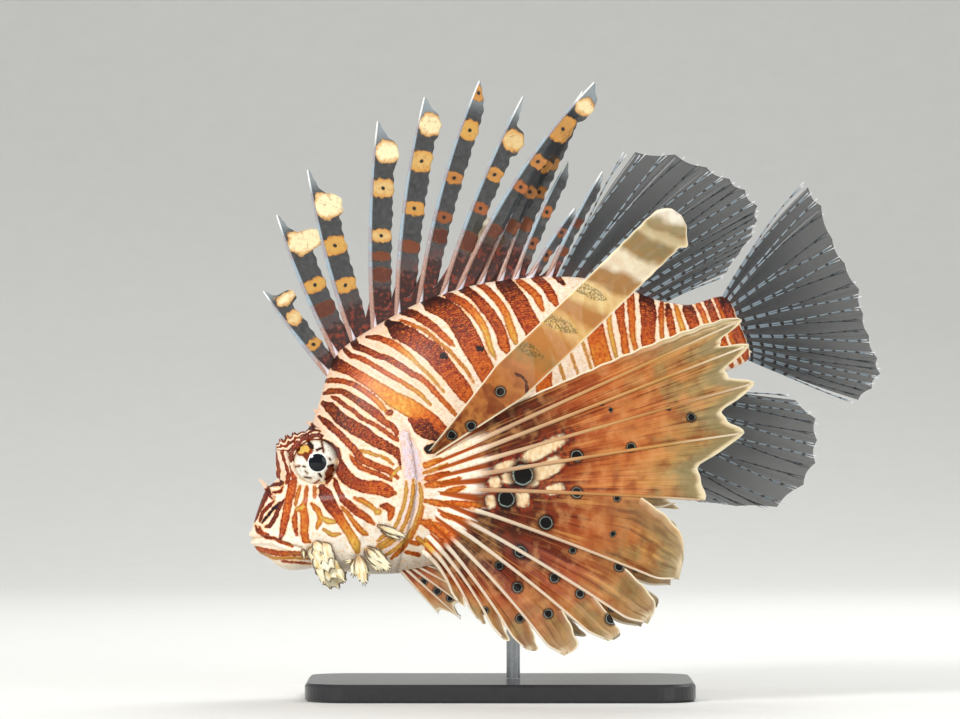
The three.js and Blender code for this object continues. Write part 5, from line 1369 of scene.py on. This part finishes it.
def buildPectoral(name, side, material):
    shape, form = Shape(), pectoralForm
    rays = fanRays(name, side)
    v = np.linspace(0, 1, form["rows"])
    columns = form["columns"]
    flesh = form["flesh"] * np.maximum(0, 1 - v / form["fleshEnd"])
    rimWidth = form["rim"]
    for i, ray in enumerate(rays):
        path = rayLine(ray, v)
        across = acrossRay(rays, i, v)
        length = np.linalg.norm(ray["tip"] - ray["root"])
        radius = mix(*form["ray"], v) * (1 if i else form["bladeRay"]) + flesh * 0.16
        if i == 0:                                      # the blade's foot lies over the next ray
            lift = side * form["bladeLift"] * np.sin(np.pi * np.minimum(v / form["liftEnd"], 1))
            path = path + sideways * lift[:, None]
        if i >= form["fingers"]:                        # the long lower fingers curl up at their ends
            toward = unit(rayLine(rays[i - 1], v) - path)
            path = path + toward * (form["curl"] * smoothStep(form["curlFrom"], 1, v) ** 1.6)[:, None]
        shaft = v < form["rayEnd"]
        marks = skinMarks(path[shaft]) if i else {"edge": unset["edge"], "tone": 1.0, "pink": 0.35}
        addTube(shape, path[shaft], radius[shaft], 10, along=v[shaft], ray=0.2 if i == 0 else 1.0, lobe=float(i),
                blade=float(i == 0), dash=form["dash"], **marks)
        if i == 0:
            c = np.linspace(-1, 1, 2 * columns - 1)
            half = form["bladeHalf"] * np.minimum(1, 0.12 + v / 0.35)
            half = half * np.maximum(lobeEnd(v, form["bladeEnd"]), 0.02)
            hook = 1 + ridge(v[:, None], *form["hook"]) * (c > 0) * np.abs(c)
            ragged = 1 + waves(v, (*form["bladeRagged"], 0))[:, None] * smoothStep(0.6, 1, v)[:, None] * np.abs(c)
            grid = path[:, None] + across[:, None] * (half[:, None] * c * hook * ragged)[..., None]
            curl = side * -form["bladeCurl"] * (c ** 2)[None, :] * smoothStep(0.1, 0.4, v)[:, None]
            grid = grid + sideways * curl[..., None]
            rim = (1 - np.abs(c))[None, :] * half[:, None] / rimWidth
            width = half
        else:
            c = np.linspace(0, 1, columns)
            notch = rays[i - 1]["notch"]
            above = rayLine(rays[i - 1], v)
            reach = np.linalg.norm(above - path, axis=1)
            if notch > form["webbed"]:          # webbed nearly to the tips, with a hollow edge between them
                dip = 1 - form["hollow"] * np.sin(np.pi * c) ** 1.7 * (1 + 0.1 * np.sin(c * 17 + i))
                rows = v[:, None] * dip[None, :]
                grid = betweenRays(ray, rays[i - 1], rows, c)
                width = reach
                rim = (1 - v)[:, None] * length / rimWidth + 0 * c
            else:                                       # a tongue along its own ray, free beyond the notch
                share = np.clip((v - notch) / (1 - notch), 0, 1)
                atNotch = np.interp(notch, v, reach)
                tongue = np.sqrt(np.maximum(1 - share ** form["tongueEnd"], 0)) * (1 - form["tongueTaper"] * share)
                free = v > notch
                width = np.where(free, atNotch * tongue, reach)
                ripple = waves(v * length, (*form["ripple"], 2 * i)) * smoothStep(notch, 0.9, v)
                width = np.maximum(width + ripple * (1 - smoothStep(0.93, 1, v)), 0.05)
                toward = unit(above - path)
                grid = path[:, None] + toward[:, None] * (width[:, None] * c)[..., None]
                rim = np.where(free[:, None], (1 - c)[None, :] * width[:, None], 9) / rimWidth
                rim = np.minimum(rim, (1 - v)[:, None] * length / rimWidth)
            sag = side * form["sag"] * np.sin(np.pi * c)[None, :] * smoothStep(0.15, 0.5, v)[:, None] * (-1) ** i
            pleat = form["pleat"] * np.sin(c * 5 * np.pi)[None, :] * smoothStep(0.3, 0.6, v)[:, None]
            grid = grid + sideways * (sag + pleat)[..., None]
        if name == "left":
            dot = nearestSpot(grid[..., [0, 2]], form["spots"])
        else:
            local = np.stack([v[:, None] * length + 0 * c, width[:, None] * c], -1)
            middle = 0 if i == 0 else float(np.interp(0.6, v, width)) / 2
            spots = [[share * length + 5 * math.sin(3 * i), middle, size] for share, size in form["farSpots"]]
            dot = nearestSpot(local, spots)
        size = grid.shape[:2]
        marks = {key: value.reshape(size) for key, value in skinMarks(grid.reshape(-1, 3)).items()}
        if i == 0:                                      # the far blade has no lines
            own = dict(zip(("edge", "tone"), markLines(grid[..., [0, 2]].reshape(-1, 2), bladeLines)))
            if name != "left":
                own["edge"] = own["edge"] * 0 + unset["edge"]
            for key, value in own.items():
                marks[key] = np.where(v[:, None] > form["bladeMarks"], value.reshape(size), marks[key])
        patch = np.full(size, unset["patch"])
        for x, z, *half, angle in form["patches"] if name == "left" else ():
            turn = math.radians(angle)
            near, off = grid[..., 0] - x, grid[..., 2] - z
            near, off = near * math.cos(turn) + off * math.sin(turn), off * math.cos(turn) - near * math.sin(turn)
            gap = (np.abs(near / half[0]) ** 3 + np.abs(off / half[1]) ** 3) ** (1 / 3) - 1
            patch = np.minimum(patch, 1 + gap * min(half) / form["patchEdge"])
        plump = (form["membrane"] + flesh)[:, None] * (0.75 + 0.25 * np.cos(c * math.pi * 2))[None, :]
        addSheet(shape, grid, plump, along=v[:, None], across=(c if i else (c + 1) / 2)[None, :], ray=0.0,
                 lobe=float(i), blade=float(i == 0), rim=rim, dot=dot, patch=patch, dash=form["dash"], **marks)
    shape.build(f"fish_pectoral_fin_{name}", material, "banded_fin", [f"pectoral_fin_{name}"])


pelvicForm = {
    "rays": [              # foot along and above, length, angle, how far out the tip stands
        [52, -36.5, 27, -66, 13], [54, -37.5, 34, -60, 15], [56, -38.2, 29, -52, 13], [58, -39, 22, -42, 11],
        [60, -39.6, 13, -25, 8],
    ],
    "spots": [[62, -46, 1.6], [66, -52, 1.8], [70, -57, 1.5]],
    "rootOut": 5.0, "rootIn": 5, "ray": (0.8, 0.25), "membrane": 0.3, "edge": 0.97, "hollow": 0.08,
    "rows": 40, "columns": 9, "rimReach": 30, "rim": 1.5, "firstLobe": 8.0, "tones": (0.3, 0.7),
}


def buildPelvic(name, side, material):
    shape, form = Shape(), pelvicForm
    rays = []
    for x, z, length, angle, out in form["rays"]:
        turn = math.radians(angle)
        root = np.array([x, side * form["rootOut"], z + form["rootIn"]])
        tip = np.array([x + length * math.cos(turn), side * out, z + length * math.sin(turn)])
        rays.append({"root": root, "bend": (root + tip) / 2, "tip": tip})
    v = np.linspace(0, 1, form["rows"])
    c = np.linspace(0, 1, form["columns"])
    first, share = form["tones"]                        # the part of a pectoral ray whose colours these take
    for i, ray in enumerate(rays):
        addTube(shape, rayLine(ray, v), mix(*form["ray"], v), 8, along=v * share + first, ray=1.0,
                lobe=form["firstLobe"] + i, patch=unset["patch"])
    for i in range(len(rays) - 1):
        rows = v[:, None] * (form["edge"] - form["hollow"] * np.sin(np.pi * c))[None, :]
        grid = betweenRays(rays[i], rays[i + 1], rows, c)
        dot = nearestSpot(grid[..., [0, 2]], form["spots"])
        rim = (1 - v)[:, None] * form["rimReach"] / form["rim"] + 0 * c
        addSheet(shape, grid, form["membrane"], along=rows * share + first, across=c[None, :], ray=0.0,
                 lobe=form["firstLobe"] + i, patch=unset["patch"], dot=dot, rim=rim)
    shape.build(f"fish_pelvic_fin_{name}", material, "banded_fin", [f"pelvic_fin_{name}"])


flaps = {
    "leaves": [            # root and tip, back and up, breadth, teeth, how far it stands from the cheek
        [26, -12.8, 26.2, -21.5, 10.5, 3, 0.6], [24.6, -15.9, 26.2, -25.5, 11.5, 3, 1.7],
        [24, -20.1, 26.4, -29.5, 12, 3, 2.8], [24, -24, 26.6, -33.6, 11, 3, 3.9],
        [22.4, -15.7, 21.4, -29.8, 4.6, 3, 1.6], [24.4, -11.4, 25.4, -17, 5.5, 4, 1.2],
        [22, -13, 20.6, -19, 4, 3, 1.0], [22.6, -21.5, 22.4, -32, 4.5, 2, 3.2], [27.5, -24, 30, -32, 5.5, 2, 4.4],
        [39.8, -24.6, 37.8, -36.6, 6.6, 5, 1.8], [38.2, -25.4, 34.8, -31.6, 5, 4, 1.0],
        [37.4, -26.4, 34, -24.8, 3, 3, 0.8], [39.4, -26, 40.4, -33.6, 4.2, 4, 2.6],
        [44.2, -22.4, 50.2, -35, 7.4, 6, 1.6], [43.4, -23.5, 46.6, -33.9, 5.4, 4, 0.9],
        [44.6, -23, 47.4, -30, 4, 3, 2.4], [52.6, -15, 61.9, -23.9, 3.4, 5, 1.2],
        [53.2, -17.6, 59.1, -23.9, 2.6, 4, 0.6], [18.4, -12.4, 17.6, -16.2, 2.4, 3, 0.8],
    ],
    "rows": 30, "columns": 37, "thickness": 0.35, "tooth": 1.8, "ruffle": 0.3, "rim": 0.8,
    "rise": 0.8, "fall": 1.4, "crease": (-0.35, 0, 0.12),
}


# Leafy flaps of skin that hang from the cheek, leaf over leaf
def buildFlaps(material):
    shape = Shape()
    u = np.linspace(0, 1, flaps["rows"])[:, None]
    w = np.linspace(-1, 1, flaps["columns"])[None, :]
    for k, (rootS, rootH, tipS, tipH, breadth, teeth, stand) in enumerate(flaps["leaves"]):
        root, tip = np.array([rootS, rootH], float), np.array([tipS, tipH], float)
        length = np.linalg.norm(tip - root)
        aim = (tip - root) / length
        cross = np.array([-aim[1], aim[0]])
        point = (1 - np.abs(np.sin(np.pi * teeth * (w * 0.5 + 0.13 * k)))) ** 1.5
        margin = 1 - 0.42 * np.abs(w) ** 2.4 + flaps["tooth"] / length * point
        spread = np.sin(np.pi * 0.5 * np.minimum(0.22 + 1.1 * u, 1)) * (1 - 0.28 * u ** 3)
        down = u * length * margin
        half = breadth / 2 * spread * (1 + 0.16 * point * np.abs(w) * u)
        flat = root + aim * down[..., None] + cross * (w * half + 0 * u)[..., None]
        rise = flaps["rise"] * np.sin(np.pi * u * 0.8) - flaps["fall"] * u ** 2 * np.abs(w)
        crease = waves(w * teeth, (flaps["ruffle"], 2.2, k)) * u + ridge(w, *flaps["crease"]) * (1 - u)
        seat = np.array([float(bodySide(rootS, rootH))])
        out = seat + stand + rise + crease
        rim = np.minimum((1 - np.abs(w)) * half, (1 - u) * length) / flaps["rim"]
        for side in (-1, 1):
            grid = np.stack([flat[..., 0], side * out, flat[..., 1]], -1)
            addSheet(shape, grid, flaps["thickness"] * (1 - 0.5 * u), along=u + 0 * w, across=w + 3 * k + 0 * u,
                     rim=rim)
    shape.build("fish_skin_flaps", material, "skin")


tags = {
    "horn": {"path": [[40.6, 14.6, 31.5], [41.8, 15, 34.5], [42.8, 15.2, 37.4]], "radii": [2.2, 1.5, 0.35]},
    "horn_tip": {"path": [[42.2, 15, 35], [41.6, 15.4, 37], [40.6, 15.7, 38.6]], "radii": [0.9, 0.5, 0.15]},
    "nape_tag": {"path": [[46.8, 9, 38.6], [46.3, 9.4, 40.4], [45.4, 9.6, 42.2]], "radii": [1.1, 0.6, 0.2]},
    "nasal_flap": {"path": [[13.6, 8.4, 16.6], [12.9, 9, 19.4], [11.8, 9.6, 22.6]], "radii": [1.1, 0.75, 0.2]},
    "nostril_rim": {"path": [[15.2, 11.2, 12.6], [14.9, 12.6, 13.4], [14.6, 13.2, 14.4]], "radii": [0.9, 0.7, 0.35]},
}


# Horns over the eyes and the small tags at the nostrils
def buildTags(material):
    shape = Shape()
    t = np.linspace(0, 1, 16)
    for tag in tags.values():
        given = np.array(tag["path"], float)
        share = np.linspace(0, 1, len(given))
        path = np.stack([np.interp(t, share, given[:, k]) for k in range(3)], 1)
        radii = np.interp(t, share, tag["radii"])
        for side in (-1, 1):
            placed = path * [1, side, 1]
            addTube(shape, placed, radii, 12, flat=0.7, shade=1.0, dash=0.0, **skinMarks(placed))
    shape.build("fish_head_tags", material, "skin")


# Folds of skin round the eye's socket, each between a low and a high line, with how far out each stands
folds = {
    "brow": {
        "low": [[24.2, 31.8], [26, 29.8], [29, 28.6], [32, 29.8], [36, 30.8], [40, 30.8], [44, 29.6], [47.5, 26.5]],
        "high": [[24.2, 33], [24.8, 34.4], [26, 34.2], [26.8, 36], [27.6, 34.6], [29, 34.8], [30, 36.6], [30.8, 34.8],
                 [32.4, 35], [33.2, 36.4], [34.2, 34.8], [36.5, 35.2], [38, 34.4], [40, 35], [42, 36.2], [43.4, 34.6],
                 [45.5, 33.4], [47.5, 30.5]],
        "out": [[13.2, 15.4, 16.6, 17, 16, 14.8], [12.6, 13.8, 14.2, 14.2, 13.8, 12.8]], "shift": -1.1, "waves": 2.6,
    },
    "front": {
        "low": [[24.6, 15], [25.6, 18.5], [26.4, 22], [27.5, 26], [28.6, 29.4]],
        "high": [[19.3, 20.6], [19.8, 22.4], [21.4, 26.4], [22.8, 29.8], [24.3, 33.6]],
        "out": [[14.2, 14.4, 14.4, 14.6, 15], [9, 9.4, 10, 11, 12.6]], "shift": 0.1, "waves": 1.6,
    },
}
foldForm = {"along": 150, "rows": 40, "thickness": 1.2, "thinning": 0.8, "depth": 0.3, "swell": 0.9, "stripe": 1.8,
            "waver": ((1.5, 5, 0), (0.25, 27, 0))}
lidTint = {"shade": 1.0, "dash": 0.1, "pink": 0.4}


def buildFold(shape, side, fold):
    def sample(line, share):
        line = np.array(line, float)
        if line.ndim == 1:
            return np.interp(share, np.linspace(0, 1, len(line)), line)
        far = np.concatenate([[0], np.cumsum(np.linalg.norm(np.diff(line, axis=0), axis=1))])
        return np.stack([np.interp(share * far[-1], far, line[:, k]) for k in range(2)], -1)

    t, b = np.linspace(0, 1, foldForm["along"])[:, None], np.linspace(0, 1, foldForm["rows"])[None, :]
    place = mix(sample(fold["low"], t), sample(fold["high"], t), b[..., None])
    wave = np.cos(b * fold["waves"] * 2 * np.pi + waves(t, *foldForm["waver"]))
    out = mix(sample(fold["out"][0], t), sample(fold["out"][1], t), b ** 1.3)
    out = out + foldForm["swell"] * np.sin(np.pi * b) + foldForm["depth"] * wave
    grid = np.stack([place[..., 0], side * out, place[..., 1]], -1)
    edge = foldForm["stripe"] * wave + fold["shift"]
    ends = np.sqrt(np.sin(np.pi * (0.04 + 0.92 * t)))   # the fold thins out at both ends
    thick = foldForm["thickness"] * (1 - foldForm["thinning"] * b ** 3) * ends
    addSheet(shape, grid, thick, tone=0.08, edge=edge, **lidTint)


lid = {"ring": 10.0, "out": 4.4, "thin": 0.6, "brow": 1.5, "around": 144, "sides": 20,
       "rough": ((0.18, 13, 0), (0.14, 29, 1), (0.1, 47, 0)), "stripes": ((2.2, 4, 0.6), (0.8, 11, 1)),
       "pale": 2.2, "dark": 4.2}


# The rim of skin round each eye, thick and dark over it
def buildLids(material):
    shape = Shape()
    a = np.arange(lid["around"]) / lid["around"] * 2 * math.pi
    b = np.arange(lid["sides"]) / lid["sides"] * 2 * math.pi
    high = np.clip(np.sin(a - 0.15), 0, 1) ** 1.2
    rough = waves(a, *lid["rough"])
    thick = (lid["thin"] + lid["brow"] * high + rough * (0.25 + high))[:, None]
    for side in (-1, 1):
        reach = lid["ring"] + 0.55 * thick + np.cos(b)[None, :] * thick
        out = lid["out"] - 0.8 * high[:, None] + 1.1 * np.sin(b)[None, :] * thick
        points = np.stack([eye["s"] + reach * np.cos(a)[:, None], side * (eye["y"] + out),
                           eye["h"] + reach * np.sin(a)[:, None]], -1)
        faces = gridFaces(len(a), len(b), wrap=True, ring=True, flip=side > 0)
        across, along = lid["stripes"]
        stripes = waves(b, across)[None, :] + waves(a, along)[:, None]
        edge = lid["pale"] - lid["dark"] * smoothStep(0.25, 0.6, high)[:, None]
        edge = edge + np.maximum(stripes, 0) * smoothStep(0.2, 0.4, high)[:, None]
        shape.add(points, faces, tone=0.05, edge=edge.ravel(), **lidTint)
        for fold in folds.values():
            buildFold(shape, side, fold)
    shape.build("fish_lids", material, "skin")


skin = skinMaterial()
buildLids(skin)
buildSkin(skin)
buildCoat(skin)
buildTags(skin)
buildFlaps(flapMaterial())
print("body done")
buildSpinyDorsal(spineMaterial())
clear = clearMaterial()
for finName in softFins:
    buildSoftFin(finName, clear)
fan, eyeLook = fanMaterial(), eyeMaterial()
for sideName, sideSign in (("left", -1), ("right", 1)):
    buildEye(f"eye_{sideName}", sideSign, eyeLook)
    buildPectoral(sideName, sideSign, fan)
    buildPelvic(sideName, sideSign, fan)
print("fins and eyes done")

baseLook = hardMaterial("satin base", "17171a", "232327", 0.32, 350, 0.06, Coat_Weight=0.3)
rodLook = hardMaterial("brushed rod", "8c9094", "b3b6ba", 0.3, 900, 0.08, Metallic=1.0)
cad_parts["stand_base"].material_slots[0].material = baseLook
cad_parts["stand_rod"].material_slots[0].material = rodLook

# Floor, light and camera
studio = {
    "side": 8.0, "front": -6.0, "bend": 1.4, "radius": 1.6, "top": 5.0,
    "distance": 3.0, "frameWidth": 0.4224, "centre": (-0.0088, 0.1485), "sensor": 36, "aim": (0, 0, 0.14),
    "lights": [            # name, place, size, power
        ("key", (-0.9, -1.4, 1.1), 0.5, 27), ("fill", (1.4, -1.3, 0.6), 1.2, 8),
        ("rim", (0.5, 1.0, 1.2), 0.9, 12), ("backdrop", (0, 0.9, 2.2), 1.6, 16),
    ],
    "sky": (0.88, 0.89, 0.9, 1), "skyStrength": 0.48,
}


# One sheet of pale card: a floor that curves up behind the object
def buildBackdrop():
    lean = np.linspace(0, math.pi / 2, 40)
    curve = [(studio["bend"] + studio["radius"] * math.sin(a), studio["radius"] * (1 - math.cos(a))) for a in lean]
    line = [(studio["front"], 0)] + curve + [(studio["bend"] + studio["radius"], studio["top"])]
    points = [(x, y, z) for y, z in line for x in (-studio["side"], studio["side"])]
    mesh = bpy.data.meshes.new("studio_card")
    mesh.from_pydata(points, [], [(2 * k, 2 * k + 1, 2 * k + 3, 2 * k + 2) for k in range(len(line) - 1)])
    mesh.polygons.foreach_set("use_smooth", np.ones(len(mesh.polygons), bool))
    material = hardMaterial("pale card", "dcdcd8", "e2e2de", 0.75, 60, 0.0)
    behind = material.node_tree.nodes.new("ShaderNodeNewGeometry").outputs["Backfacing"]
    setShader(material, Alpha=Value(behind).rest())     # a view from behind looks through the card
    mesh.materials.append(material)
    addObject("studio_card", mesh)


buildBackdrop()


def addLight(name, place, size, power):
    data = bpy.data.lights.new(name, "AREA")
    data.shape = "DISK"
    data.size = size
    data.energy = power
    light = addObject(name, data)
    light.location = place
    aim = Vector(studio["aim"]) - Vector(place)
    light.rotation_euler = aim.to_track_quat("-Z", "Y").to_euler()


for row in studio["lights"]:
    addLight(*row)

world = bpy.data.worlds.new("studio")
world.use_nodes = True
skyInputs = world.node_tree.nodes["Background"].inputs
skyInputs["Color"].default_value = studio["sky"]
skyInputs["Strength"].default_value = studio["skyStrength"]
bpy.context.scene.world = world
bpy.context.scene.view_settings.view_transform = "Standard"

cameraData = bpy.data.cameras.new("camera")
cameraData.sensor_width = studio["sensor"]
cameraData.lens = studio["sensor"] * studio["distance"] / studio["frameWidth"]
camera = addObject("camera", cameraData)
camera.location = (studio["centre"][0], -studio["distance"], studio["centre"][1])
camera.rotation_euler = (math.pi / 2, 0, 0)
bpy.context.scene.camera = camera
